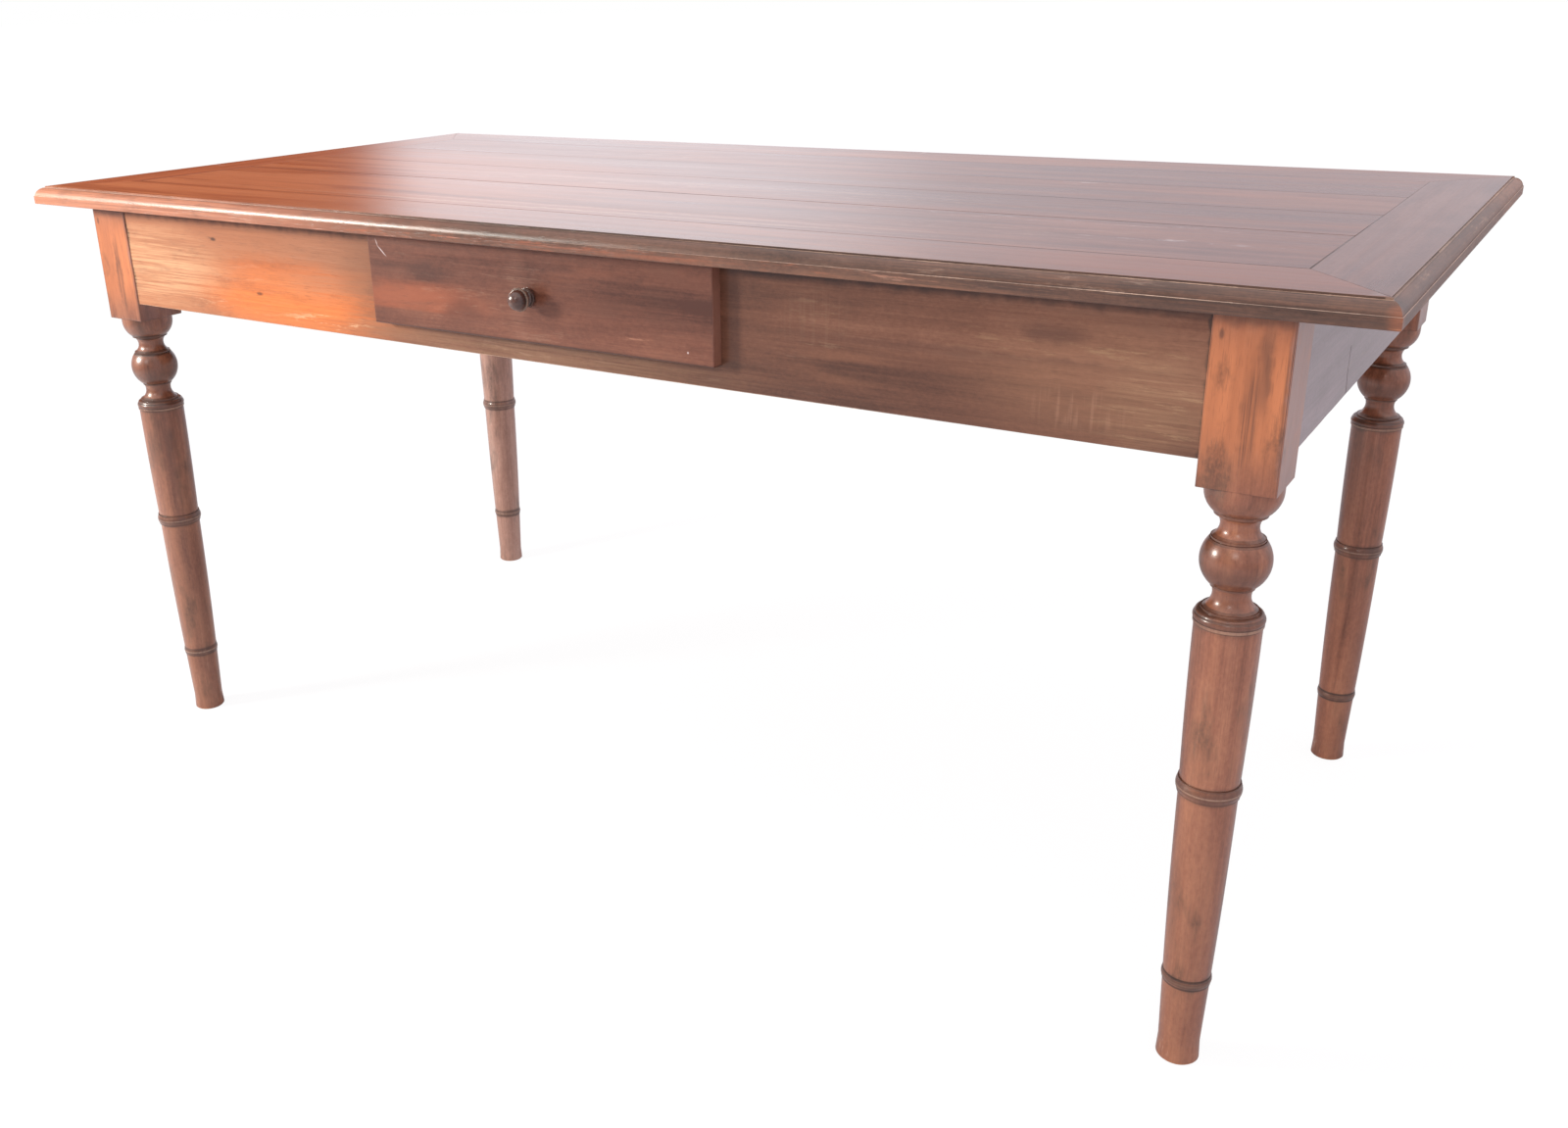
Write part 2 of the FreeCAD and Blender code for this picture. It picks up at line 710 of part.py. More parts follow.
def make_end_cleat(label, x_side):
    """Square batten along an end apron, with one screw into the end of every plank."""
    body = new_body(label)
    add_block(body, "batten",
              ("cleat_side", f"2 * ({POST_INNER_Y} - cleat_end_gap)", "cleat_side"),
              (f"{x_side} * {CLEAT_X}", "0", f"{UNDERSIDE} - cleat_side / 2"))
    places = [(f"{x_side} * {CLEAT_X}", f"({front} + {rear}) / 2", CLEAT_BOTTOM)
              for front, rear in zip(PLANK_EDGES, PLANK_EDGES[1:])]
    for place in places:
        cut_screw_hole(body, place)
    return body, places


def make_cleats():
    """The battens, and the group of screws that holds them to the top."""
    end = f"({POST_INNER_X} - cleat_end_gap)"
    beside = f"({OPENING_WIDTH} / 2 + cleat_drawer_gap)"
    made = [
        make_long_cleat("cleat_back", 1, opposite(end), end, SCREW_SPOTS_BACK),
        make_long_cleat("cleat_front_left", -1, opposite(end), f"drawer_middle - {beside}",
                        SCREW_SPOTS_FRONT_LEFT),
        make_long_cleat("cleat_front_right", -1, f"drawer_middle + {beside}", end,
                        SCREW_SPOTS_FRONT_RIGHT),
        make_end_cleat("cleat_left", -1),
        make_end_cleat("cleat_right", 1),
    ]
    screws = [make_screw(place) for body, places in made for place in places]
    return [body for body, places in made] + [make_group("cleat_screws", screws)]


def make_screw(place):
    """Countersunk wood screw pointing up, its head flush with the batten."""
    head = document.addObject("Part::Cone", "screw_head")
    head.setExpression("Radius1", bound("screw_head_radius"))
    head.setExpression("Radius2", bound("screw_radius"))
    head.setExpression("Height", bound("screw_head_height"))
    set_place(head, place)
    shank = document.addObject("Part::Cylinder", "screw_shank")
    shank.setExpression("Radius", bound("screw_radius"))
    shank.setExpression("Height", bound("cleat_side + screw_bite - screw_head_height"))
    set_place(shank, (place[0], place[1], f"{place[2]} + screw_head_height"))
    screw = document.addObject("Part::MultiFuse", "screw")
    screw.Shapes = [head, shank]
    return screw


def make_nail(place, length, head_below):
    """Round nail from place upwards, with its head below or above the shank."""
    shank = document.addObject("Part::Cylinder", "nail_shank")
    shank.setExpression("Radius", bound("nail_radius"))
    shank.setExpression("Height", bound(length))
    set_place(shank, place)
    head = document.addObject("Part::Cylinder", "nail_head")
    head.setExpression("Radius", bound("nail_head_radius"))
    head.setExpression("Height", bound("nail_head_height"))
    level = f"{place[2]} - nail_head_height" if head_below else f"{place[2]} + {length}"
    set_place(head, (place[0], place[1], level))
    nail = document.addObject("Part::MultiFuse", "nail")
    nail.Shapes = [shank, head]
    return nail


# ---------------------------------------------------------------- runners and guides

def guide_x(side):
    return f"(drawer_middle + {side} * ({OPENING_WIDTH} / 2 + guide_width / 2))"


def make_runner(label, side):
    """Bearer from apron to apron, stub tenoned at both ends, level with the opening."""
    body = new_body(label)
    level = f"{OPENING_BOTTOM} - runner_thick / 2"
    add_block(body, "bearer", ("runner_width", f"2 * {APRON_BACK}", "runner_thick"),
              (runner_x(side), "0", level))
    for y_side in (-1, 1):
        add_block(body, "stub_tenon", ("stub_width", "stub_length", "stub_thick"),
                  (runner_x(side), f"{y_side} * ({APRON_BACK} + stub_length / 2)", level))
    for spot in NAIL_SPOTS_GUIDE:
        cut_drill(body, "nail_hole", "nail_radius", "nail_bite",
                  (guide_x(side), str(spot), f"{OPENING_BOTTOM} - nail_bite"))
    return body


def make_guide(label, side):
    """Strip nailed on the runner that keeps the drawer square to the front."""
    body = new_body(label)
    add_block(body, "strip", ("guide_width", "guide_length", "guide_height"),
              (guide_x(side), f"guide_length / 2 - {APRON_BACK}",
               f"{OPENING_BOTTOM} + guide_height / 2"))
    for spot in NAIL_SPOTS_GUIDE:
        cut_drill(body, "nail_hole", "nail_radius", "guide_height",
                  (guide_x(side), str(spot), OPENING_BOTTOM))
    return body


def make_runners():
    parts = []
    for word, side in (("left", -1), ("right", 1)):
        parts.append(make_runner(f"runner_{word}", side))
        parts.append(make_guide(f"guide_{word}", side))
    nails = [make_nail((guide_x(side), str(spot), f"{OPENING_BOTTOM} - nail_bite"),
                       "(nail_bite + guide_height)", head_below=False)
             for side in (-1, 1) for spot in NAIL_SPOTS_GUIDE]
    return parts + [make_group("guide_nails", nails)]


# ---------------------------------------------------------------- the drawer

FRONT_TAILS = tuple(f"({BOX_BOTTOM} + (side_top - {BOX_BOTTOM}) * {share})"
                    for share in (0.17, 0.5, 0.83))
BACK_TAILS = tuple(f"({BACK_BOTTOM} + (back_top - {BACK_BOTTOM}) * {share})"
                   for share in (0.25, 0.75))


def tail_corners(base, tip, middle):
    """A dovetail seen from the drawer's side, narrow at its base line, from below upwards."""
    root = "tail_root / 2"
    return [
        (base, f"{middle} - {root}"),
        (tip, f"{middle} - {root} - tail_flare"),
        (tip, f"{middle} + {root} + tail_flare"),
        (base, f"{middle} + {root}"),
    ]


def box_x(side):
    """Outer face of a drawer side."""
    return f"(drawer_middle + {side} * {BOX_WIDTH} / 2)"


def side_level(side):
    """Where the section of a drawer side starts, so that it grows towards +X."""
    return box_x(side) if side < 0 else f"({box_x(side)} - side_thick)"


def make_drawer_side(label, side):
    """Side with three lapped tails at the front, two through tails and a foot at the back."""
    body = new_body(label)
    tail_tip = f"({FRONT_INSIDE} - lap)"
    corners = [
        (FRONT_INSIDE, BOX_BOTTOM),
        (BOX_END, BOX_BOTTOM),
        (BOX_END, BACK_BOTTOM),
        (BACK_FACE, BACK_BOTTOM),
    ]
    for middle in BACK_TAILS:
        corners += tail_corners(BACK_FACE, BOX_END, middle)
    corners += [
        (BACK_FACE, "back_top"),
        (BACK_FACE, "side_top"),
        (FRONT_INSIDE, "side_top"),
    ]
    for middle in reversed(FRONT_TAILS):
        corners += reversed(tail_corners(FRONT_INSIDE, tail_tip, middle))
    pad(body, outline(body, "side_outline", "YZ_Plane", corners, level=side_level(side)),
        "side_thick")
    cut_block(body, "panel_groove",
              ("2 * panel_groove", "2 * drawer_depth", "panel_thick"),
              (f"{box_x(side)} - {side} * side_thick", BACK_FACE,
               f"{PANEL_BOTTOM} + panel_thick / 2"))
    return body


def cut_tail_sockets(body, base, tip, middles):
    """Sockets for both sides' tails, right through the thickness of each side."""
    for side in (-1, 1):
        for middle in middles:
            socket = outline(body, "tail_socket", "YZ_Plane", tail_corners(base, tip, middle),
                             level=side_level(side))
            pocket(body, socket, "side_thick")


def edges_at(shape, axis, place):
    """Names of the edges that lie wholly at one place along an axis."""
    names = []
    for index, edge in enumerate(shape.Edges, start=1):
        if all(abs(vertex.Point[axis] - place) < 0.001 for vertex in edge.Vertexes):
            names.append(f"Edge{index}")
    return names


def make_drawer_front():
    """Board with a lip that laps the apron, and a thicker middle that fills the opening."""
    body = new_body("drawer_front")
    top = f"({UNDERSIDE} - drawer_top_gap)"
    height = f"({top} - drawer_bottom)"
    lip = add_block(body, "lip", ("drawer_width", "lip_thick", height),
                    ("drawer_middle", f"{LIP_BACK} - lip_thick / 2",
                     f"drawer_bottom + {height} / 2"))
    document.recompute()
    rounding = body.newObject("PartDesign::Fillet", "worn_arris")
    rounding.Base = (lip, edges_at(lip.Shape, 1, number(LIP_FRONT)))
    rounding.setExpression("Radius", bound("lip_arris"))
    low = f"({OPENING_BOTTOM} + side_play)"
    high = f"({UNDERSIDE} - tongue_board_drop)"
    add_block(body, "middle", (BOX_WIDTH, "tongue_board", f"{high} - {low}"),
              ("drawer_middle", f"{LIP_BACK} + tongue_board / 2", f"({high} + {low}) / 2"))
    cut_tail_sockets(body, FRONT_INSIDE, f"({FRONT_INSIDE} - lap)", FRONT_TAILS)
    cut_block(body, "panel_groove",
              (f"{BOX_WIDTH} - 2 * side_thick + 2 * panel_groove", "2 * panel_groove",
               "panel_thick"),
              ("drawer_middle", FRONT_INSIDE, f"{PANEL_BOTTOM} + panel_thick / 2"))
    hole = body.newObject("PartDesign::SubtractiveCylinder", "spigot_hole")
    hole.setExpression("Radius", bound("spigot_radius"))
    hole.setExpression("Height", bound("2 * (lip_thick + tongue_board)"))
    set_place(hole, ("drawer_middle", FRONT_INSIDE, "knob_height"))
    hole.Placement.Rotation = FreeCAD.Rotation(FreeCAD.Vector(1, 0, 0), 90)
    return body


def make_drawer_back():
    body = new_body("drawer_back")
    add_block(body, "board", (BOX_WIDTH, "back_thick", f"back_top - {BACK_BOTTOM}"),
              ("drawer_middle", f"{BOX_END} - back_thick / 2", f"(back_top + {BACK_BOTTOM}) / 2"))
    cut_tail_sockets(body, BACK_FACE, BOX_END, BACK_TAILS)
    for spot in NAIL_SPOTS_BOTTOM:
        cut_drill(body, "nail_hole", "nail_radius", "nail_bite",
                  (f"drawer_middle + {spot}", f"{BOX_END} - back_thick / 2", BACK_BOTTOM))
    return body


def make_drawer_bottom():
    """Panel slid in from the back under the drawer back, and nailed up into it."""
    body = new_body("drawer_bottom")
    front = f"({FRONT_INSIDE} - panel_groove + panel_play)"
    rear = f"({BOX_END} - panel_play)"
    thick = "(panel_thick - panel_play)"
    add_block(body, "panel",
              (f"{BOX_WIDTH} - 2 * side_thick + 2 * (panel_groove - panel_play)",
               f"{rear} - {front}", thick),
              ("drawer_middle", f"({rear} + {front}) / 2", f"{BACK_BOTTOM} - {thick} / 2"))
    for spot in NAIL_SPOTS_BOTTOM:
        cut_drill(body, "nail_hole", "nail_radius", "panel_thick",
                  (f"drawer_middle + {spot}", f"{BOX_END} - back_thick / 2", PANEL_BOTTOM))
    return body


def make_knob():
    """Turned knob with a domed head, glued by its spigot; turned about Y, front at -Y."""
    body = new_body("drawer_knob")
    profile = outline(body, "knob_profile", "YZ_Plane", (
        ("-knob_rim_end - knob_dome_radius", "0"),
        ("lip_thick + tongue_board", "0"),
        ("lip_thick + tongue_board", "spigot_radius"),
        ("0", "spigot_radius"),
        ("0", "knob_base_radius", "knob_base_swell"),
        ("-knob_base_thick", "knob_base_radius"),
        ("-knob_base_thick", "knob_neck_start_radius", "-knob_neck_hollow"),
        ("-knob_head_start", "knob_neck_start_radius + quirk"),
        ("-knob_rim_start", "knob_rim_radius", "knob_rim_swell"),
        ("-knob_rim_end", "knob_rim_radius"),
        ("-knob_rim_end", "knob_dome_radius", ("-knob_rim_end", "0")),
    ))
    turn_about(body, profile, "H_Axis")
    set_place(body, ("drawer_middle", LIP_FRONT, "knob_height"))
    return body


def make_drawer():
    bottom_nails = [make_nail((f"drawer_middle + {spot}", f"{BOX_END} - back_thick / 2",
                               f"{PANEL_BOTTOM} + panel_play"),
                              "(panel_thick - panel_play + nail_bite)", head_below=True)
                    for spot in NAIL_SPOTS_BOTTOM]
    return [
        make_drawer_front(),
        make_drawer_side("drawer_side_left", -1),
        make_drawer_side("drawer_side_right", 1),
        make_drawer_back(),
        make_drawer_bottom(),
        make_group("drawer_bottom_nails", bottom_nails),
        make_knob(),
    ]


# ---------------------------------------------------------------- build, check and write

def check(parts):
    """Stop on any failed feature or any sub-part that isn't a sound solid."""
    for thing in document.Objects:
        if "Invalid" in thing.State or "Error" in thing.State:
            raise RuntimeError(f"{thing.Label}: {thing.State}")
    for part in parts:
        if part.Shape.isNull() or not part.Shape.isValid() or part.Shape.Volume <= 0:
            raise RuntimeError(f"{part.Label} has no valid shape")


parts = (make_top() + [make_mitre_keys()] + make_legs() + make_aprons() + make_cleats()
         + make_runners() + make_drawer())
document.recompute()
check(parts)
os.makedirs("parts", exist_ok=True)
for part in parts:
    part.Shape.exportStep(f"parts/{part.Label}.step")
    solids = len(part.Shape.Solids)
    print(f"{part.Label:22s} solids {solids:2d}  volume {part.Shape.Volume / 1000:9.1f} cm3")
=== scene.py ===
# %% [markdown]
# A farmhouse kitchen table in stained hardwood. The joiner's solids are already there: top
# boards, posts, aprons, drawer and runners. Modelled afresh, their sizes and joints would
# drift. So this lesson dresses them: it eases the boards, turns the legs and the knob on a
# finer lathe, and gives every piece a wood of its own.

# %% Load the frame
import math
import bmesh
import bpy
from mathutils import Matrix, Vector, noise as perlin


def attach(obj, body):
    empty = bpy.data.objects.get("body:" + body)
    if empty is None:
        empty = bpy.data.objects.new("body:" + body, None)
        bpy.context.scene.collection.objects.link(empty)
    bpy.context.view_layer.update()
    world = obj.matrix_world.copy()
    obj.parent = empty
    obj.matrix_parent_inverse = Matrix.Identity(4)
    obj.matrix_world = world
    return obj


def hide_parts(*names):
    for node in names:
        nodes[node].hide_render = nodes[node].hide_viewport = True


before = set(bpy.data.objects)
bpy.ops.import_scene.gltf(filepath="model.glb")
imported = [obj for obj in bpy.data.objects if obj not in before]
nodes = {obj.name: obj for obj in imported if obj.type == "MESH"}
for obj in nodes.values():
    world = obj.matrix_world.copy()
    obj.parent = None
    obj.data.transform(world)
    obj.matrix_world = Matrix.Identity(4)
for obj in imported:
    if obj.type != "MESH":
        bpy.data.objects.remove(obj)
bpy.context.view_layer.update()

# %% [markdown]
# The camera stands at the right front corner, a little above the top. It could be aimed at a
# target, but it also leans a little, so its three turns are written down. The small shift
# only frames the view.

# %% Camera
EYE = Vector((0.974397, -1.532356, 0.975632))
TURN_LEFT, LOOK_DOWN, ROLL = 0.58913, 0.36895, -0.02363
LENS, SENSOR, FARTHEST = 32.874, 36, 100
SHIFT = (0.0494, -0.0097)


def add_object(name, data):
    thing = bpy.data.objects.new(name, data)
    bpy.context.scene.collection.objects.link(thing)
    return thing


def make_camera():
    data = bpy.data.cameras.new("camera")
    data.sensor_width = SENSOR
    data.lens = LENS
    data.shift_x, data.shift_y = SHIFT
    data.clip_end = FARTHEST
    camera = add_object("camera", data)
    aim = Matrix.Rotation(TURN_LEFT, 4, "Z") @ Matrix.Rotation(math.pi / 2 - LOOK_DOWN, 4, "X")
    camera.matrix_world = Matrix.Translation(EYE) @ aim @ Matrix.Rotation(ROLL, 4, "Z")
    bpy.context.scene.camera = camera
    bpy.context.scene.view_settings.view_transform = "Standard"
    print("camera at", tuple(round(part, 2) for part in EYE))


make_camera()

# %% [markdown]
# A finish in Blender is a tree of nodes. It could be wired by hand in the editor. A script
# reads better when one helper adds, sets and joins a node.

# %% Adding a node


def add_node(tree, kind, inputs=None, **settings):
    """A node of that kind. A socket given as an input is linked, anything else is set."""
    node = tree.nodes.new("ShaderNode" + kind)
    for name, value in settings.items():
        setattr(node, name, value)
    for name, value in (inputs or {}).items():
        if isinstance(value, bpy.types.NodeSocket):
            tree.links.new(value, node.inputs[name])
        else:
            node.inputs[name].default_value = value
    return node


def new_tree(name):
    """A material and its tree, with the usual shader in it."""
    material = bpy.data.materials.new(name)
    material.use_nodes = True
    return material, material.node_tree


print("a helper adds, sets and links a node")

# %% [markdown]
# The same few sums come back in every finish. Written out, they would hide what the finish
# does, so each has a short word. They print nothing while they work, as there are hundreds.

# %% Sums, ranges and mixes


def calculate(tree, operation, *values, clamp=False):
    node = add_node(tree, "Math", dict(enumerate(values)), operation=operation,
                    use_clamp=clamp)
    return node.outputs[0]


def calculate_vector(tree, operation, *values):
    """The same for vectors. A dot product and a length come out as one number."""
    node = add_node(tree, "VectorMath", dict(enumerate(values)), operation=operation)
    return node.outputs["Value" if operation in ("DOT_PRODUCT", "LENGTH") else "Vector"]


def product(tree, value, *others):
    for other in others:
        value = calculate(tree, "MULTIPLY", value, other)
    return value


def move_range(tree, value, low, high, to_low=0.0, to_high=1.0, smooth=True):
    """Value from low..high spread over to_low..to_high, and held there outside."""
    node = add_node(tree, "MapRange", {
        "Value": value, "From Min": low, "From Max": high, "To Min": to_low,
        "To Max": to_high}, interpolation_type="SMOOTHSTEP" if smooth else "LINEAR")
    return node.outputs["Result"]


def mix_colours(tree, share, first, second):
    """Sockets 0, 6 and 7 of a Mix node set to colour are its share and its two colours."""
    node = add_node(tree, "Mix", {0: share, 6: first, 7: second}, data_type="RGBA")
    return node.outputs[2]


print("short words for sums, ranges and mixes")

# %% [markdown]
# Colours are written as on a paint chart, 0 to 255, which is easier to judge than the light's
# own scale, and turned into that scale here. Noise is what all uneven finishes grow from.

# %% Colours and noise


def srgb(red, green, blue):
    """A chart colour in the light's own scale."""
    def linear(part):
        part /= 255
        return part / 12.92 if part <= 0.04045 else ((part + 0.055) / 1.055) ** 2.4
    return (linear(red), linear(green), linear(blue), 1.0)


def lay_over(tree, colour, share, tint):
    """A share of a chart colour over another colour."""
    return mix_colours(tree, share, colour, srgb(*tint))


def noise(tree, vector, scale=1.0, detail=2.0, rough=0.5, distort=0.0):
    node = add_node(tree, "TexNoise", {
        "Vector": vector, "Scale": scale, "Detail": detail,
        "Roughness": rough, "Distortion": distort})
    return node.outputs["Fac"]


print("middle grey of the chart holds", round(srgb(128, 128, 128)[0], 3), "of the light")

# %% [markdown]
# The table stands on plain pale ground. A lit plane alone would end in a grey edge against
# the white behind it. So camera rays see most of it as glowing white, and the rest stays
# matt and keeps the shadow. From below it is clear, to show the table's underside.

# %% Floor
WHITE = (1, 1, 1, 1)
FLOOR_HALF = 300
FLOOR_GREY = srgb(196, 194, 197)
GLOWING_SHARE, GLOW_STRENGTH = 0.8, 1.14


def mesh_of(shape, name):
    data = bpy.data.meshes.new(name)
    shape.to_mesh(data)
    shape.free()
    return data


def make_floor():
    shape = bmesh.new()
    bmesh.ops.create_grid(shape, x_segments=1, y_segments=1, size=FLOOR_HALF)
    floor = add_object("floor", mesh_of(shape, "floor"))
    material, tree = new_tree("pale_floor")
    tree.nodes.clear()
    matt = add_node(tree, "BsdfDiffuse", {"Color": FLOOR_GREY})
    glow = add_node(tree, "Emission", {"Color": WHITE, "Strength": GLOW_STRENGTH})
    seen = add_node(tree, "LightPath").outputs["Is Camera Ray"]
    above = add_node(tree, "MixShader", {
        0: product(tree, seen, GLOWING_SHARE), 1: matt.outputs[0], 2: glow.outputs[0]})
    clear = add_node(tree, "BsdfTransparent")
    below = add_node(tree, "NewGeometry").outputs["Backfacing"]
    both = add_node(tree, "MixShader", {
        0: below, 1: above.outputs[0], 2: clear.outputs[0]})
    add_node(tree, "OutputMaterial", {"Surface": both.outputs[0]})
    floor.data.materials.append(material)
    print("floor laid,", 2 * FLOOR_HALF, "m wide")


make_floor()

# %% [markdown]
# A polished top seen at a flat angle is a mirror, so the room decides how it looks. Walls
# could be built, but the world light can hold them as colours that fade in round a
# direction: pale walls, greyer behind the camera, a dimmer one, a bright patch behind the far
# left corner, a pale ceiling, a brown doorway further left, where the top shows its own
# colour, and a window high behind the camera. Camera rays see plain white instead.

# %% Room
ROOM = srgb(230, 223, 229)
CEILING = (1.12, 1.08, 1.1, 1)
CEILING_FROM, CEILING_FULL = 0.45, 0.8
# each: direction, degrees from it where the patch begins and where it is full, colour
GREY_BEHIND = Vector((-0.30, -0.95, 0.10)).normalized(), 85, 35, srgb(146, 143, 146)
DIM_WALL = Vector((-0.19, 0.907, 0.375)), 16.5, 8.5, srgb(196, 184, 192)
BRIGHT_WALL = Vector((-0.61, 0.785, 0.12)).normalized(), 15, 3, (1.3, 1.22, 1.28, 1)
WINDOW = Vector((0.147, -0.868, 0.474)).normalized(), 11, 5, (4.5, 4.4, 4.3, 1)
DOORWAY = Vector((-0.913, 0.407, 0)), 21.8, 18.8, srgb(170, 92, 60)
DOORWAY_LINTEL = (0.5, 0.75)


def facing(tree, way, middle, wide, narrow):
    """0 further than wide degrees from the direction middle, 1 within narrow degrees."""
    side = calculate_vector(tree, "DOT_PRODUCT", way, middle)
    return move_range(tree, side, math.cos(math.radians(wide)), math.cos(math.radians(narrow)))


def make_room():
    world = bpy.data.worlds.new("room")
    bpy.context.scene.world = world
    world.use_nodes = True
    tree = world.node_tree
    tree.nodes.clear()
    way = add_node(tree, "TexCoord").outputs["Generated"]
    height = add_node(tree, "SeparateXYZ", {0: way}).outputs["Z"]
    colour = ROOM
    for *patch, tint in (GREY_BEHIND, DIM_WALL, BRIGHT_WALL):
        colour = mix_colours(tree, facing(tree, way, *patch), colour, tint)
    ceiling = move_range(tree, height, CEILING_FROM, CEILING_FULL)
    colour = mix_colours(tree, ceiling, colour, CEILING)
    level = calculate_vector(tree, "MULTIPLY", way, (1, 1, 0))
    level = calculate_vector(tree, "NORMALIZE", level)
    doorway = product(tree, facing(tree, level, *DOORWAY[:3]),
                      move_range(tree, height, *DOORWAY_LINTEL, 1.0, 0.0))
    colour = mix_colours(tree, doorway, colour, DOORWAY[3])
    colour = mix_colours(tree, facing(tree, way, *WINDOW[:3]), colour, WINDOW[3])
    seen = add_node(tree, "LightPath").outputs["Is Camera Ray"]
    light = add_node(tree, "Background", {
        "Color": mix_colours(tree, seen, colour, WHITE), "Strength": 1.0})
    add_node(tree, "OutputWorld", {"Surface": light.outputs[0]})
    print("room with", len(tree.nodes), "nodes")


make_room()

# %% [markdown]
# The room alone would leave the table flat. A small warm lamp at the left front models the
# turning, and a wide, faint, cool one at the right front opens the shadows. The polish
# doesn't mirror that one, because its disc would look false.

# %% Lamps


def make_lamp(name, place, target, size, watts, colour, mirrored=True):
    data = bpy.data.lights.new(name, "AREA")
    data.shape = "DISK"
    data.size = size
    data.energy = watts
    data.color = colour
    lamp = add_object(name, data)
    lamp.location = place
    lamp.rotation_euler = (Vector(target) - Vector(place)).to_track_quat("-Z", "Y").to_euler()
    lamp.visible_camera = False
    lamp.visible_glossy = mirrored
    print(name, watts, "W")


make_lamp("key_lamp", place=(-1.78, -1.62, 1.25), target=(-0.1, -0.3, 0.66), size=0.42,
          watts=54, colour=(1.0, 0.95, 0.87))
make_lamp("fill_lamp", place=(1.6, -2.0, 0.9), target=(0.6, -0.3, 0.5), size=1.0,
          watts=11, colour=(0.93, 0.94, 1.0), mirrored=False)

# %% [markdown]
# Stained wood is one recipe with many settings. A wood texture would repeat, so each board
# gets its own cut of one endless log: the pattern runs along X, a mapping turns it along the
# grain, and a shift picks the cut. Clouds carry the uneven stain, flames and streaks the
# figure, fibres and pores the fine lines, and blotches, grit and flecks the years of use.

# %% Patterns in the log
GRAIN_TURN = {"X": (0, 0, 0), "Y": (0, 0, -math.pi / 2), "Z": (0, math.pi / 2, 0)}
# name: repeats a metre along and across the grain, detail, roughness, distortion
PATTERNS = {
    "cloud": (1.7, 8.0, 3, 0.55, 0.0),
    "flame": (2.6, 34.0, 3, 0.55, 0.5),
    "streak": (1.5, 95.0, 4, 0.6, 0.0),
    "fibre": (9.0, 520.0, 3, 0.65, 0.0),
    "blotch": (11.0, 30.0, 5, 0.62, 0.0),
    "grit": (170.0, 330.0, 3, 0.7, 0.0),
    "rubbed": (22.0, 190.0, 5, 0.75, 0.0),
    "patch": (3.0, 9.0, 3, 0.5, 0.0),
    "pore": (55.0, 1100.0, 1, 0.6, 0.0)}


def patterns_of(tree, along, seed):
    """Every pattern of one board, from coordinates whose X runs along its grain."""
    shift = Vector((seed * 3.17 % 7, seed * 1.31 % 5, seed * 0.73 % 3))
    log = calculate_vector(tree, "ADD", along, shift)
    made = {}
    for name, (lengthwise, across, detail, rough, distort) in PATTERNS.items():
        stretched = calculate_vector(tree, "MULTIPLY", log, (lengthwise, across, across))
        made[name] = noise(tree, stretched, detail=detail, rough=rough, distort=distort)
    made["fleck"] = move_range(tree, made["rubbed"], 0.54, 0.66)
    made["open_pore"] = move_range(tree, made["pore"], 0.58, 0.70)
    return made


print("patterns:", ", ".join(PATTERNS))

# %% [markdown]
# Stain is darkest where the wood drinks most. One noise could steer it, but real wood varies
# at every size, so the patterns are added up, and a ramp turns the sum into colour.

# %% Depth of the stain
FIGURE_SHARES = {"flame": 0.65, "streak": 0.40}
FINE_SHARES = {"fibre": 0.30, "blotch": 0.55, "grit": 0.36}
TONE_REACH = 0.30


def add_shares(tree, total, patterns, shares):
    """The total plus each named pattern times its share."""
    for name, share in shares.items():
        total = calculate(tree, "MULTIPLY_ADD", patterns[name], share, total)
    return total


def stained(tree, patterns, stain, figure):
    """Dark, middle and light colour of the stain, spread over the sum of the patterns."""
    shares = {name: share * figure for name, share in FIGURE_SHARES.items()} | FINE_SHARES
    tone = add_shares(tree, patterns["cloud"], patterns, shares)
    middle = 0.5 * (1 + sum(shares.values()))
    ramp = add_node(tree, "ValToRGB", {
        "Fac": move_range(tree, tone, middle - TONE_REACH, middle + TONE_REACH, smooth=False)})
    dark, medium, light = (srgb(*part) for part in stain)
    ramp.color_ramp.elements[0].color = dark
    ramp.color_ramp.elements[1].color = light
    ramp.color_ramp.elements.new(0.5).color = medium
    return ramp.outputs["Color"]


print("stain follows", len(FIGURE_SHARES) + len(FINE_SHARES) + 1, "patterns")

# %% [markdown]
# No board takes stain evenly, and use leaves its own places: a worn streak, a drip, a knot.
# They could be painted by hand on an unwrapped board. An ellipsoid at a place on the table is
# simpler, and a ragged edge and one of the wood's own patterns make it look grown or rubbed.

# %% Spots
MM = 0.001
RAGGED = 5.5 * MM
SMALL_SPOT = 3.5
SPOT_CORE = 0.3
DRIP_COLUMNS = (260, 260, 14)


def ragged_place(tree, place):
    """Coordinates pushed about by up to RAGGED, for the edges of spots."""
    push = add_node(tree, "TexNoise", {"Vector": place, "Scale": 70.0, "Detail": 3.0})
    pushed = calculate_vector(tree, "MULTIPLY_ADD", push.outputs["Color"], (2 * RAGGED,) * 3, place)
    return calculate_vector(tree, "SUBTRACT", pushed, (RAGGED,) * 3)


def spot(tree, place, centre, radii, turn=0.0):
    """1 inside an ellipsoid about centre, fading to 0 at its edge. Centre and radii in mm."""
    moved = add_node(tree, "Mapping", {
        "Vector": place, "Location": Vector(centre) * MM, "Rotation": (0, math.radians(turn), 0),
        "Scale": Vector(radii) * MM}, vector_type="TEXTURE")
    length = calculate_vector(tree, "LENGTH", moved.outputs[0])
    return move_range(tree, length, SPOT_CORE, 1.0, 1.0, 0.0)


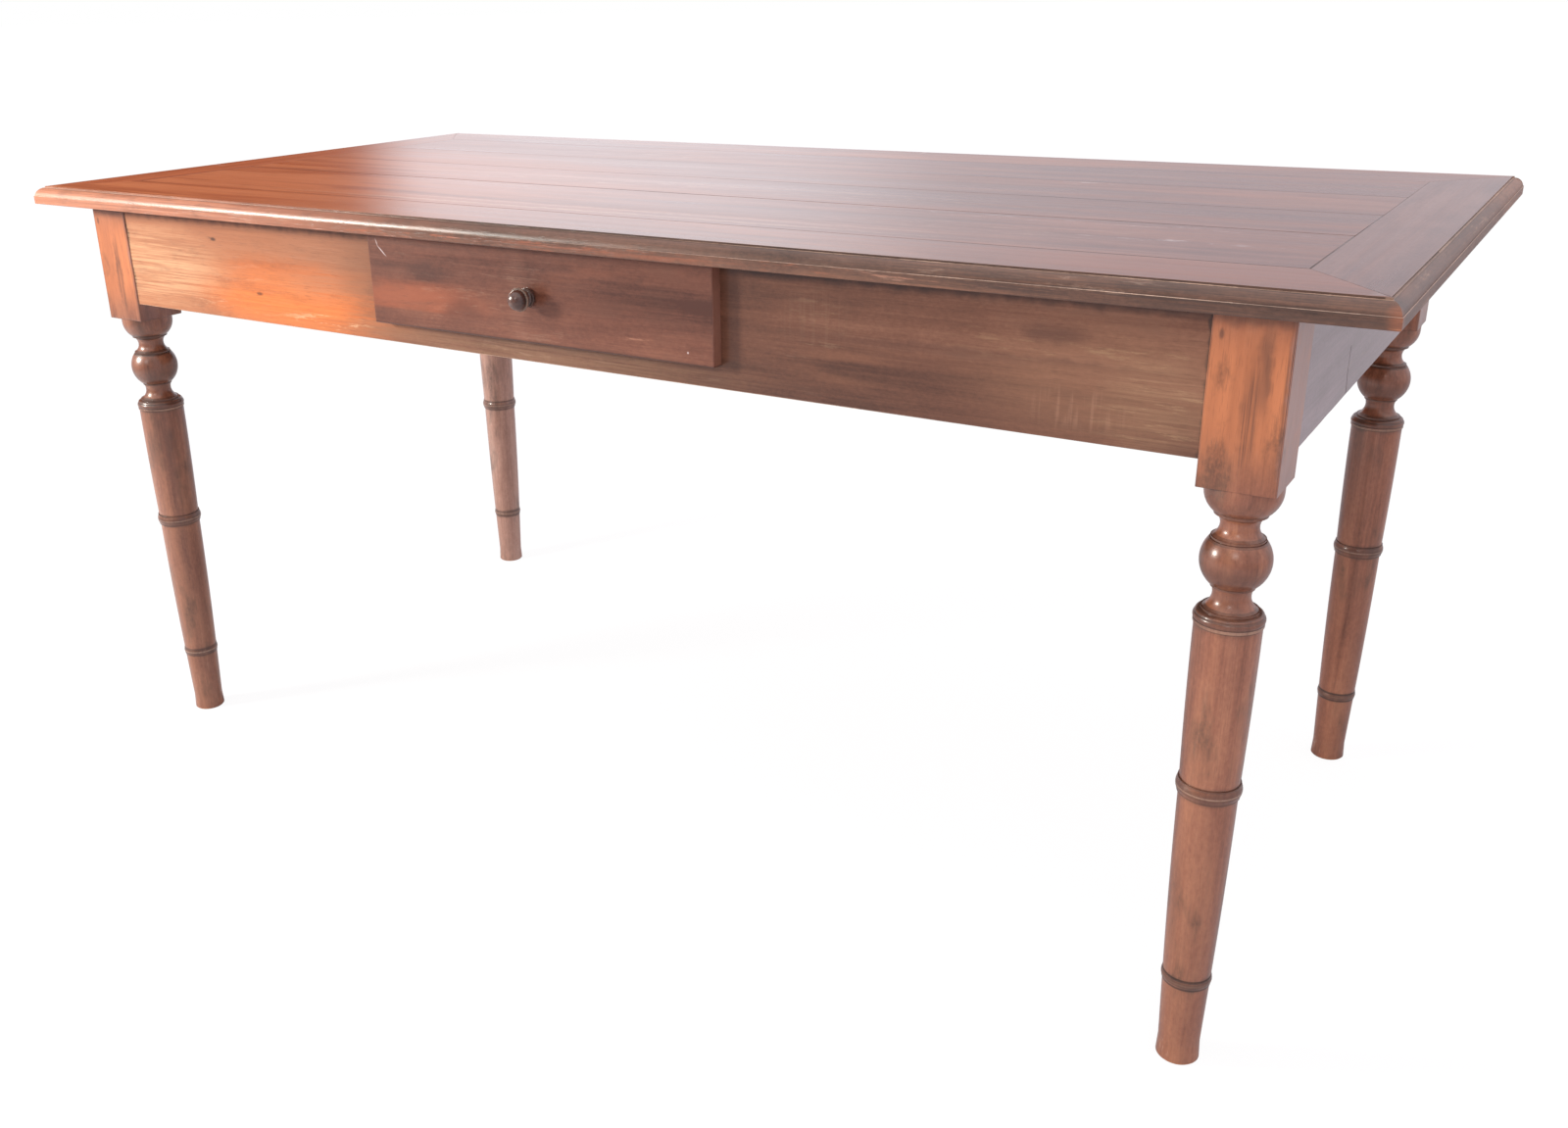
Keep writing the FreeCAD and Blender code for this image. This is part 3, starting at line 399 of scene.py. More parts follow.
def add_spots(tree, colour, place, patterns, spots):
    """A spot is (centre, radii, colour, share, texture) and, if it lies aslant, its turn."""
    drips = noise(tree, calculate_vector(tree, "MULTIPLY", place, DRIP_COLUMNS), detail=3)
    textures = {
        "soft": (),
        "drip": (move_range(tree, drips, 0.50, 0.60),),
        "fibre": (move_range(tree, patterns["fibre"], 0.36, 0.64, 0.15, 1.0),),
        "fleck": (patterns["fleck"],),
        "flame": (move_range(tree, patterns["flame"], 0.40, 0.62),)}
    ragged = ragged_place(tree, place)
    for centre, radii, tint, share, texture, *turn in spots:
        mark = spot(tree, ragged if min(radii) > SMALL_SPOT else place, centre, radii, *turn)
        colour = lay_over(tree, colour, product(tree, mark, *textures[texture], share), tint)
    return colour


print("spots smaller than", SMALL_SPOT, "mm keep a clean edge")

# %% [markdown]
# Old polish ages in layers. Grime settles in blotches and pores, hands rub it off in patches
# and along the edges, and corners that no cloth reaches stay dirty. A material alone can't
# know where those lie, so they are marked on each mesh.

# %% Grime, pores and wear
GRIME = (52, 38, 31)
PALE = (212, 176, 148)
PORE_SHARE = 0.24


def marked(tree, mark):
    return add_node(tree, "Attribute", attribute_name=mark).outputs["Fac"]


def aged(tree, colour, patterns, dark, soil, wear, worn, rub):
    """Adds the layers of age, and keeps the worn and dirty shares among the patterns."""
    patch, grit = patterns["patch"], patterns["grit"]
    grime = product(tree, move_range(tree, patterns["blotch"], 0.50, 0.68), soil,
                    move_range(tree, grit, 0.30, 0.62, 0.45, 1.0))
    colour = lay_over(tree, colour, grime, GRIME)
    colour = lay_over(tree, colour, product(tree, patterns["open_pore"], PORE_SHARE), dark)
    rubbed = product(tree, patterns["fleck"], move_range(tree, patch, 0.50, 0.70), wear)
    edge = product(tree, marked(tree, "wear"), move_range(tree, patch, 0.38, 0.58, *rub),
                   move_range(tree, grit, 0.30, 0.60, 0.55, 1.0))
    patterns["worn"] = calculate(tree, "MAXIMUM", rubbed, edge)
    colour = lay_over(tree, colour, patterns["worn"], worn)
    patterns["dirt"] = product(tree, marked(tree, "dirt"),
                               move_range(tree, patch, 0.36, 0.56, 0.95, 0.55))
    return lay_over(tree, colour, patterns["dirt"], GRIME)


print("grime", GRIME, "and worn wood", PALE, "on the colour chart")

# %% [markdown]
# Polish is duller where the wood is worn or dirty, and a thin varnish lies over it. Under it
# the grain stands up a little. Real relief would need millions of faces, so it is only a
# bump. Turned wood also has fine rings from the tool.

# %% Polish and relief
POLISH_SHARES = {"streak": 0.12, "worn": 0.20}
RELIEF_SHARES = {"open_pore": -0.10, "flame": 1.0, "fibre": 0.06, "blotch": 0.5, "grit": 0.10}
COAT_ROUGHNESS = 0.2
RELIEF_DEPTH = 0.3 * MM


def roughness_of(tree, patterns, polish):
    gloss = calculate(tree, "MULTIPLY_ADD", patterns["cloud"], 0.16, polish - 0.14)
    gloss = add_shares(tree, gloss, patterns, POLISH_SHARES)
    return calculate(tree, "MULTIPLY_ADD", patterns["dirt"], 0.18, gloss, clamp=True)


def relief_of(tree, patterns, along, turned, waves):
    start = calculate(tree, "MULTIPLY", patterns["streak"], 0.6)
    relief = add_shares(tree, start, patterns, RELIEF_SHARES)
    if turned:
        height = add_node(tree, "SeparateXYZ", {0: along}).outputs["X"]
        rings = add_node(tree, "TexNoise", {"W": height, "Scale": 700.0, "Detail": 2.0},
                         noise_dimensions="1D")
        relief = calculate(tree, "MULTIPLY_ADD", rings.outputs["Fac"], 0.25, relief)
    bump = add_node(tree, "Bump", {
        "Height": relief, "Strength": 0.6, "Distance": RELIEF_DEPTH * waves})
    return bump.outputs[0]


print("relief", RELIEF_DEPTH / MM, "mm deep, coat roughness", COAT_ROUGHNESS)

# %% [markdown]
# All layers come together in one material. It could be a node group with sockets, but plain
# values have to sit on the shader itself, so a function builds it afresh for every piece.

# %% The whole wood


def make_wood(name, grain, seed, stain, polish=0.34, coat=0.25, figure=1.0, soil=0.25,
              wear=0.12, worn=PALE, rub=(0.25, 1.0), spots=(), turned=False, waves=1.0):
    """Stain is a dark, a middle and a light colour, polish the roughness, coat the share of
    varnish and figure the strength of flames and streaks. Soil is the share of grime, wear of
    rubbed patches, and rub how far a worn edge shows its worn colour. Waves deepen the relief."""
    material, tree = new_tree(name)
    shader = tree.nodes["Principled BSDF"]
    place = add_node(tree, "TexCoord").outputs["Object"]
    along = add_node(tree, "Mapping", {
        "Vector": place, "Rotation": GRAIN_TURN[grain]}).outputs[0]
    patterns = patterns_of(tree, along, seed)
    colour = stained(tree, patterns, stain, figure)
    colour = add_spots(tree, colour, place, patterns, spots)
    colour = aged(tree, colour, patterns, stain[0], soil, wear, worn, rub)
    tree.links.new(colour, shader.inputs["Base Color"])
    tree.links.new(roughness_of(tree, patterns, polish), shader.inputs["Roughness"])
    tree.links.new(relief_of(tree, patterns, along, turned, waves), shader.inputs["Normal"])
    shader.inputs["Coat Weight"].default_value = coat
    shader.inputs["Coat Roughness"].default_value = COAT_ROUGHNESS
    return material


print("wood grows along", ", ".join(GRAIN_TURN))

# %% [markdown]
# A joiner takes the sharp edge off every board with a stroke of the plane. A live Bevel
# modifier would round every edge, also inside the joints. So a copy of the piece is merged
# into whole faces, and a three-step bevel rounds only the edges a hand could touch. They are
# marked, so that stain can wear off there, or dirt can settle in a joint.

# %% Easing boards
SAME_PLACE, FLAT, ARRIS = 0.01, math.radians(0.5), math.radians(25)


def copy_of(name):
    """The joiner's piece with its loose triangles merged into whole faces."""
    shape = bmesh.new()
    shape.from_mesh(nodes[name].data)
    bmesh.ops.remove_doubles(shape, verts=shape.verts, dist=SAME_PLACE * MM)
    bmesh.ops.dissolve_limit(shape, angle_limit=FLAT, verts=shape.verts, edges=shape.edges,
                             use_dissolve_boundaries=False)
    bmesh.ops.recalc_face_normals(shape, faces=shape.faces)
    return shape


def layer_of(shape, mark):
    return shape.faces.layers.float.get(mark) or shape.faces.layers.float.new(mark)


def is_arris(edge):
    return len(edge.link_faces) == 2 and edge.calc_face_angle_signed(0) > ARRIS


def ease(shape, width, choose, mark="wear", clamp=True):
    """Rounds the arrises that choose(middle, start, end) picks, all in mm, and marks them."""
    layer = layer_of(shape, mark)
    picked = []
    for edge in shape.edges:
        start, end = (corner.co / MM for corner in edge.verts)
        if is_arris(edge) and choose((start + end) / 2, start, end):
            picked.append(edge)
    corners = dict.fromkeys(corner for edge in picked for corner in edge.verts)
    made = bmesh.ops.bevel(shape, geom=picked + list(corners), offset=width * MM,
                           offset_type="OFFSET", segments=3, profile=0.5, affect="EDGES",
                           clamp_overlap=clamp, material=-1)
    for face in made["faces"]:
        face[layer] = 1.0
    return len(picked)


print("an arris is sharper than", round(math.degrees(ARRIS)), "degrees")

# %% [markdown]
# Years of use leave small dents along the edges. They could be sculpted, but a rule is quick
# and always gives the same table: a board is cut across into short lengths, and a noise
# pushes the rounded corners in here and there. What is hit most is rubbed most.

# %% Dents
ALONG, ACROSS, UP = (1, 0, 0), (0, 1, 0), (0, 0, 1)
BLOWS, NICKS = 21, 83


def cut_at(shape, way, place):
    bmesh.ops.bisect_plane(shape, geom=shape.verts[:] + shape.edges[:] + shape.faces[:],
                           plane_co=Vector(way) * place * MM, plane_no=way, dist=1e-7)


def cut_across(shape, way, first, last, step):
    """Cuts a board across into lengths of one step, so that its arrises can be dented."""
    place = first + step / 2
    while place < last:
        cut_at(shape, way, place)
        place += step


def dent(shape, depth, seed, mark="wear"):
    """Knocks the marked arrises in by up to depth. A whole one ends half marked, a dent full."""
    layer = layer_of(shape, mark)
    shape.normal_update()
    for corner in shape.verts:
        if all(face[layer] > 0 for face in corner.link_faces):
            blow = perlin.noise(corner.co * BLOWS + Vector((seed, 0, 0)))
            nick = perlin.noise(corner.co * NICKS + Vector((0, seed, 0)))
            amount = min(1.0, max(0.0, blow - 0.12) * 1.1 + max(0.0, nick - 0.25) * 1.2)
            corner.co -= corner.normal * amount * depth * MM
            for face in corner.link_faces:
                face[layer] = max(face[layer], 1.0 + amount)
    for face in shape.faces:
        if face[layer] > 0:
            face[layer] = min(1.0, face[layer] - 0.5)


print("dents: up to", BLOWS, "blows and", NICKS, "nicks a metre")

# %% [markdown]
# A finished piece has to shade like one board: smooth over its rounded edges, crisp where
# flat faces meet. The angle alone could decide, but a wide face beside a narrow one would
# then show a grey smear, so a big step in size also counts as a crease.

# %% Finished pieces
CREASE, UNEVEN, SLIVER = math.radians(32), 25, 0.005


def is_crease(edge):
    if len(edge.link_faces) != 2:
        return True
    small, large = sorted(face.calc_area() for face in edge.link_faces)
    return edge.calc_face_angle(0) > CREASE or large > UNEVEN * max(small, 1e-12)


def finish_piece(shape, name, node, *materials):
    """Makes the object, which stands for the joiner's node from now on."""
    bmesh.ops.dissolve_degenerate(shape, dist=SLIVER * MM, edges=shape.edges)
    for face in shape.faces:
        face.smooth = True
    for edge in shape.edges:
        edge.smooth = not is_crease(edge)
    data = mesh_of(shape, name)
    for material in materials:
        data.materials.append(material)
    piece = add_object(name, data)
    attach(piece, "drawer" if node.startswith("drawer_") else "table")
    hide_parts(node)


print("a crease is sharper than", round(math.degrees(CREASE)), "degrees")

# %% [markdown]
# The border of the top is four mitred boards with a moulding along the outside: a ledge, and
# a step up to the top. It could be swept anew, but the joiner's boards already have it, so it
# only gets a finish of its own, with dirt in its corners and a pale lip below the step, which
# is a painted highlight along that arris.

# %% Moulding
TOP_LEVEL, LEDGE_LEVEL, UNDERSIDE = 760.0, 748.5, 738.0
HALF_LENGTH, HALF_WIDTH = 830.0, 409.0
RISER_INSET, LIP = 12.0, 2.0
MOULDING_STAIN = (62, 46, 38), (112, 80, 66), (154, 108, 84)
# pale worn wood on the moulding, which also paints the highlight along the lip
LIP_HIGHLIGHT_AND_WORN_WOOD = (214, 182, 160)
MOULDING_SPOTS = (
    ((-700, -400, 748), (700, 60, 60), (198, 132, 102), 0.8, "soft"),
    ((-500, -400, 748), (500, 60, 60), (128, 74, 52), 0.6, "fibre"),
    ((-100, -409, 743), (420, 30, 6), (178, 100, 68), 0.6, "fleck"),
    ((90, -409, 743), (260, 30, 6), (158, 92, 66), 0.5, "fibre"),
    ((360, -409, 743), (300, 30, 6), (176, 100, 68), 0.55, "fleck"),
    ((620, -400, 745), (420, 50, 50), (58, 50, 48), 0.7, "fibre"),
    ((815, -100, 745), (40, 420, 50), (66, 58, 55), 0.5, "fibre"),
    ((829, -408, 746), (13, 14, 20), (172, 104, 74), 0.4, "soft"),
    ((829, -406, 741), (9, 14, 10), (200, 134, 96), 0.7, "fleck"))


def from_outside(point):
    """How far a point lies in from the outer edge of the top."""
    return min(HALF_LENGTH - abs(point.x), HALF_WIDTH - abs(point.y))


def soil_moulding(shape):
    """Gives the moulding its own slot: dirt in its corners, and a pale lip below the riser that
    paints the highlight along its arris.
    """
    dirt, wear = layer_of(shape, "dirt"), layer_of(shape, "wear")
    for face in shape.faces:
        middle = face.calc_center_median() / MM
        inset = from_outside(middle)
        if inset > RISER_INSET + 0.2 or middle.z > TOP_LEVEL - 0.3 or middle.z < UNDERSIDE + 0.1:
            continue
        face.material_index = 1
        if inset > RISER_INSET - 0.2:
            face[dirt] = 0.5
        elif inset > RISER_INSET - LIP:
            # the lip: a painted highlight along the arris below the riser, carried by the wear mark
            face[wear] = 0.85
        elif inset > RISER_INSET - 3 or (abs(middle.z - LEDGE_LEVEL) < 0.1 and inset > 0.5):
            face[dirt] = max(face[dirt], 0.6)


print("moulding", RISER_INSET, "mm wide with a lip of", LIP)

# %% [markdown]
# The outer arrises of a border board are knocked and rubbed, while its mitre and inner edge
# collect polish and dirt. One bevel for all would mix the two up, so they are eased apart,
# each with its own mark. The left end of the top is warmer: one wide spot paints the warm
# light of the near lamp on it, and a wide flame streak adds figure. Two short splits at the
# edges are spots too, as they are only pale.

# %% Border boards
MOULDING_WIDTH, LONG_ARRIS = 14, 400
RIM_STAIN = (92, 52, 36), (134, 82, 58), (170, 108, 76)
DULL_RIM_STAIN = (84, 56, 48), (124, 88, 76), (156, 116, 102)
SPLIT = (226, 206, 196)
LEFT_PLACE = (-830, -260, 760), (980, 600, 300)
# painted light: a warm pool of the near lamp's light over the left end of the top
PAINTED_LAMP_LIGHT_LEFT = (*LEFT_PLACE, (204, 126, 84), 0.76, "soft")
LEFT_STREAK = ((-700, -250, 760), (560, 500, 300), (134, 66, 38), 0.85, "flame")


def on_top(middle, start, end):
    return min(start.z, end.z) > TOP_LEVEL - 0.1


def inner_arris(middle, start, end):
    return on_top(middle, start, end) and from_outside(middle) > MOULDING_WIDTH


def outer_arris(middle, start, end):
    near = max(from_outside(start), from_outside(end)) < MOULDING_WIDTH
    return near and (start - end).length > LONG_ARRIS


def make_border(node, way, seed, spots=(), stain=RIM_STAIN):
    shape = copy_of(node)
    ease(shape, 0.35, inner_arris, "dirt", clamp=False)
    ease(shape, 0.45, outer_arris, clamp=False)
    lengthwise = way == ALONG
    reach, width = (HALF_LENGTH, HALF_WIDTH) if lengthwise else (HALF_WIDTH, HALF_LENGTH)
    cut_across(shape, way, -reach, reach, 13)
    for side in (-1, 1):
        cut_at(shape, ACROSS if lengthwise else ALONG, side * (width - RISER_INSET + LIP))
    soil_moulding(shape)
    dent(shape, 0.5, seed)
    grain = "X" if lengthwise else "Y"
    wood = make_wood("wood_" + node, grain, seed, stain, spots=spots, polish=0.3, coat=0.6,
                     soil=0.15)
    moulding = make_wood("wood_moulding_" + node[4:], grain, seed + 5, MOULDING_STAIN,
                         spots=MOULDING_SPOTS, polish=0.36, coat=0.08, soil=0.45, wear=0.5,
                         worn=LIP_HIGHLIGHT_AND_WORN_WOOD, rub=(0.6, 1.0), waves=3.0)
    finish_piece(shape, node + "_eased", node, wood, moulding)


make_border("top_front_border", ALONG, 1, spots=(
    PAINTED_LAMP_LIGHT_LEFT, LEFT_STREAK, ((680, -350, 760), (300, 60, 20), (146, 82, 50), 0.95, "fibre")))
make_border("top_back_border", ALONG, 2, spots=(
    PAINTED_LAMP_LIGHT_LEFT, LEFT_STREAK, ((78, 394, 760), (1.8, 26, 10), SPLIT, 0.7, "soft")))
make_border("top_left_border", ACROSS, 3, spots=(
    # the same painted lamp light, weaker on the left border
    (*LEFT_PLACE, (188, 104, 66), 0.7, "soft"), LEFT_STREAK,
    ((-804, -128, 760), (22, 1.8, 10), SPLIT, 0.7, "soft")))
make_border("top_right_border", ACROSS, 4, stain=DULL_RIM_STAIN)

# %% [markdown]
# Four wide planks lie between the borders, tongued into each other. The front joint has
# opened and shows as a dark line, the others are almost closed. A line drawn in the material
# would have no depth, so each joint is two eased edges with dirt between them. Pale streaks
# along the grain paint the sheen of the polish, and the left end takes the same painted lamp
# light as the border.

# %% Planks
TOP_STAIN = (88, 50, 36), (122, 76, 58), (158, 104, 80)
# white of the painted sheen of the polish on the top, and of pale scratches on the drawer front
SHEEN_AND_SCRATCH_WHITE = (236, 222, 222)
# centres and radii along and across, on the top's own level; the pale rows paint the
# sheen of the polish, the dark rows are figure
PLANK_SPOTS = {
    "plank_front": (
        ((-320, -290), (70, 12), (60, 30, 22), 0.85, "flame"),
        ((-60, -284), (700, 7), PALE, 0.5, "fibre"),
        ((60, -262), (520, 5), PALE, 0.45, "fibre"),
        ((0, -240), (700, 26), (82, 44, 34), 0.6, "flame"),
        ((420, -215), (330, 60), PALE, 0.4, "fleck"),
        ((620, -215), (130, 14), SHEEN_AND_SCRATCH_WHITE, 0.85, "fleck"),
        ((330, -180), (260, 10), (84, 46, 36), 0.6, "fibre"),
        ((470, -140), (400, 16), SHEEN_AND_SCRATCH_WHITE, 0.5, "fleck")),
    "plank_middle_front": (
        ((0, -60), (740, 40), PALE, 0.4, "fleck"),
        ((-100, -40), (560, 16), (190, 148, 128), 0.4, "fibre"),
        ((300, 10), (460, 34), (70, 38, 30), 0.75, "flame")),
    "plank_middle_rear": (
        ((-260, 120), (480, 34), (196, 158, 142), 0.3, "fibre"),
        ((300, 90), (420, 26), (78, 44, 34), 0.6, "flame"),
        ((410, 150), (90, 24), SHEEN_AND_SCRATCH_WHITE, 0.8, "fleck")),
    "plank_rear": (
        ((-200, 230), (500, 50), PALE, 0.35, "fleck"),
        ((200, 290), (500, 30), (96, 52, 42), 0.6, "flame"))}
JOINT_WIDTHS = (1.5, 0.9, 0.5, 0.4)

for number, (node, rows) in enumerate(PLANK_SPOTS.items()):
    spots = tuple(((*centre, TOP_LEVEL), (*radii, 5), *rest) for centre, radii, *rest in rows)
    shape = copy_of(node)
    ease(shape, JOINT_WIDTHS[number], on_top, "dirt")
    wood = make_wood("wood_" + node, "X", 11 + number, TOP_STAIN, polish=0.3, coat=0.6, soil=0.2,
                     figure=1.3, spots=(PAINTED_LAMP_LIGHT_LEFT, LEFT_STREAK) + spots)
    finish_piece(shape, node + "_eased", node, wood)

# %% [markdown]
# The right apron has dried out and cracked from its lower edge. A drawn line would look
# flat, and a boolean cut would leave ragged faces. So planes split the outer face, and the
# middle line is pushed in to a wedge, widest at the foot and closed at its top.

# %% Crack in the right apron
END_FACE = 752.5
CRACK_Y, CRACK_TOP, CRACK_WIDTH, CRACK_DEPTH = -118.0, 660.0, 2.4, 6.0
CRACK_TIP, CRACK_OPENING, CRACK_LEAN, LEAN_LEVEL = 22, 45, 0.2, 636


def split_face(shape, plane_co, plane_no):
    """Cuts only the outer face of the apron."""
    faces = [face for face in shape.faces if face.normal.x > 0.9
             and abs(face.calc_center_median().x - END_FACE * MM) < 0.2 * MM]
    parts = dict.fromkeys(part for face in faces for part in (face, *face.edges, *face.verts))
    bmesh.ops.bisect_plane(shape, geom=list(parts), plane_co=plane_co, plane_no=plane_no)


def crack(shape):
    for level in (CRACK_TOP, CRACK_TOP - CRACK_TIP):
        split_face(shape, (0, 0, level * MM), UP)
    for side in (-1, 0, 1):
        split_face(shape, (0, (CRACK_Y + side * CRACK_WIDTH / 2) * MM, 0), ACROSS)
    layer = layer_of(shape, "dirt")
    opened = 0
    for corner in shape.verts:
        x, y, z = corner.co / MM
        if abs(x - END_FACE) > 0.2 or z > CRACK_TOP - 1:
            continue
        share = min(1.0, (CRACK_TOP - z) / CRACK_OPENING)
        if abs(y - CRACK_Y) < 0.1:
            corner.co.x -= CRACK_DEPTH * share * MM
            opened += 1
            for face in corner.link_faces:
                if all(abs(part.co.y / MM - CRACK_Y) < CRACK_WIDTH for part in face.verts):
                    low = face.calc_center_median().z < (CRACK_TOP - CRACK_TIP - 2) * MM
                    face[layer] = 1.0 if low else 0.5
        elif abs(abs(y - CRACK_Y) - CRACK_WIDTH / 2) < 0.1:
            corner.co.y = (CRACK_Y + (y - CRACK_Y) * (0.4 + 0.6 * share)) * MM
    for corner in shape.verts:
        x, y, z = corner.co / MM
        if abs(y - CRACK_Y) < CRACK_WIDTH and x > END_FACE - 8 and z < CRACK_TOP:
            corner.co.y -= CRACK_LEAN * (z - LEAN_LEVEL) * MM
    print("crack opened at", opened, "places")


print("crack", CRACK_DEPTH, "mm deep and", CRACK_WIDTH, "mm wide")

# %% [markdown]
# The front apron shows most of all boards: it is warm and rubbed at its left end, where a wide
# soft spot is partly its own warmer tone and partly painted light of the near lamp. It has
# knots, drips and flecks, and a dark band along its top is a painted shadow under the edge of
# the top. One stain can't tell all that, so it gets a list of spots in its own grain.

# %% Spots of the front apron
WARM_TONE_AND_LAMP_LIGHT, GOLD, OLIVE = (180, 118, 82), (214, 112, 48), (150, 118, 88)
KNOT = (50, 28, 20)
# centres along and up, on the outer face
FRONT_APRON_SPOTS = (
    # partly the board's own warmer tone, partly a painted pool of the near lamp's light
    ((-640, 670), (600, 300, 400), WARM_TONE_AND_LAMP_LIGHT, 0.84, "soft"),
    ((-540, 700), (360, 60, 70), (142, 86, 56), 0.75, "flame"),
    ((-560, 724), (300, 60, 24), (146, 94, 66), 0.5, "fibre"),
    ((-500, 660), (420, 60, 120), (160, 98, 62), 0.45, "fibre"),
    ((-690, 670), (4, 30, 300), GRIME, 0.8, "soft"),
    ((690, 670), (4, 30, 300), GRIME, 0.8, "soft"),
    # painted shadow: a dark band under the edge of the top
    ((100, 737), (1600, 60, 15), (52, 36, 33), 0.85, "soft"),
    ((-400, 652), (190, 60, 56), GOLD, 0.5, "soft"),
    ((-385, 650), (230, 60, 70), GOLD, 0.75, "flame"),
    ((-380, 640), (200, 60, 50), (226, 136, 72), 0.5, "fibre"),
    ((-650, 668), (190, 60, 70), (230, 184, 142), 0.55, "fibre"),
    ((-340, 690), (90, 60, 60), (172, 120, 90), 0.6, "fibre"),
    ((-250, 670), (70, 60, 120), (140, 98, 72), 0.55, "fibre"),
    ((-480, 696), (210, 60, 20), (112, 76, 58), 0.55, "flame"),
    ((-450, 668), (120, 60, 10), (120, 82, 58), 0.5, "flame"),
    ((-524, 709), (44, 30, 9), (116, 68, 44), 0.6, "flame"),
    ((-524, 709), (10, 30, 4), KNOT, 0.85, "fleck"),
    ((-520, 708), (7, 30, 3), KNOT, 0.8, "soft"),
    ((-446, 647), (8, 30, 3), (84, 44, 26), 0.75, "soft"),
    ((-560, 626), (180, 30, 14), (206, 160, 124), 0.6, "fleck"),
    ((-330, 624), (95, 30, 12), (236, 196, 156), 0.6, "fleck"),
    ((0, 622), (330, 30, 40), OLIVE, 0.38, "fibre"),
    ((610, 660), (170, 60, 70), (158, 114, 86), 0.36, "soft"),
    ((570, 690), (130, 60, 26), (158, 124, 92), 0.5, "fleck"),
    ((650, 655), (76, 60, 66), (172, 138, 104), 0.5, "fleck"),
    ((650, 650), (60, 60, 60), (172, 138, 104), 0.25, "fibre"),
    ((420, 650), (150, 60, 30), (146, 98, 72), 0.5, "flame"),
    ((330, 686), (46, 60, 44), (146, 114, 88), 0.4, "fleck"),
    ((330, 690), (50, 60, 36), (140, 108, 84), 0.14, "drip"),
    ((585, 640), (60, 60, 26), (176, 132, 106), 0.24, "drip"),
    ((560, 705), (40, 60, 16), (74, 44, 36), 0.5, "flame"),
    ((480, 676), (260, 60, 8), (92, 60, 48), 0.5, "flame"))

print("spots on the front apron:", len(FRONT_APRON_SPOTS))

# %% [markdown]
# The aprons are plain boards on edge, tenoned into the posts. Easing them all round would
# spoil the joints, so only the lower edges and the rim of the drawer opening are eased and
# dented. The right one has a grey-violet stain of its own, which paints the pale sheen that
# its face shows at a flat angle.

# %% Aprons
APRON_FOOT, APRON_FACE, OPENING_REACH = 611.5, -376.5, 300
APRON_LENGTHS = {"X": (ALONG, 690), "Y": (ACROSS, 310)}
APRON_STAIN = (78, 48, 36), (112, 72, 54), (142, 98, 76)
# grey-violet: the painted reflection of the pale room on the right apron
SHEEN_PAINTED_END_STAIN = (92, 70, 72), (126, 104, 110), (158, 134, 138)


def open_to_hands(middle, start, end):
    low = max(start.z, end.z) < APRON_FOOT + 0.1
    rim = max(start.y, end.y) < APRON_FACE + 0.1 and abs(middle.x) < OPENING_REACH
    return (low or rim) and (start - end).length > 60


def make_apron(node, grain, seed, spots=(), stain=APRON_STAIN):
    shape = copy_of(node)
    ease(shape, 0.9, open_to_hands)
    way, reach = APRON_LENGTHS[grain]
    cut_across(shape, way, -reach, reach, 16)
    dent(shape, 0.6, seed)
    if node == "apron_right":
        crack(shape)
    wood = make_wood("wood_" + node, grain, seed, stain, spots=spots, wear=0.15,
                     coat=0.25 if grain == "X" else 0.8)
    finish_piece(shape, node + "_eased", node, wood)


make_apron("apron_front", "X", 21, spots=[
    ((x, -376, z), *rest) for (x, z), *rest in FRONT_APRON_SPOTS])
make_apron("apron_back", "X", 22)
make_apron("apron_left", "Y", 23)
make_apron("apron_right", "Y", 24, stain=SHEEN_PAINTED_END_STAIN)

# %% [markdown]
# Each leg is one length of wood: a square post, and a turned shaft with rings, a collar, a
# ball and a cup. They could be stacked from ready shapes, but a turner works from a pattern,
# and so does this lesson: a line of (radius, height) points, where a third number bows the
# line towards the next point.

# %% Turner's pattern of the leg
FOOT_AND_SHAFT = [
    (0, 0), (18.9, 0, 0), (20.3, 1.4), (19.4, 20), (21.8, 89), (22.5, 89), (22.5, 90.4, 0.8),
    (22.5, 97.1), (22.5, 98.5), (22.1, 98.5, 0.6), (26.2, 293), (27.6, 293), (27.6, 294.4, 1.5),
    (27.6, 305.6), (27.6, 307), (26.5, 307, 0.5), (28.8, 461), (29.8, 461), (29.8, 463.6),
    (29.4, 464, 0.9), (29.4, 469.4), (29.0, 469.8, 1.0), (25.3, 473), (24.5, 473),
    (24.5, 475.2), (23.1, 475.2, -4.0), (17.8, 494.6), (18.6, 494.6), (18.6, 496)]
NECK_AND_CUP = [
    (23.4, 538), (21.8, 538), (21.8, 538.4), (22.6, 538.4), (22.6, 540.2), (21.8, 540.2, -5.2),
    (20.6, 560.4), (22.2, 560.4), (22.2, 562.6), (23.0, 562.6, 2.4), (32.2, 582),
    (32.2, 588.4), (0, 588.4)]
BALL_RADIUS, BALL_LEVEL = 29.9, 519.4
print("pattern with", len(FOOT_AND_SHAFT) + len(NECK_AND_CUP), "points and a ball")

# %% [markdown]
# The bows of the pattern are true arcs, as a gouge leaves them, and the ball is a true circle.
# Curve objects could draw them, but here only points are needed for the lathe. A point close
# to each end of a long stretch holds the corner crisp when the faces are shaded smooth.

# %% The leg's line
LONG_STEP, LONG_RUN, HOLD = 4, 8, 1.3


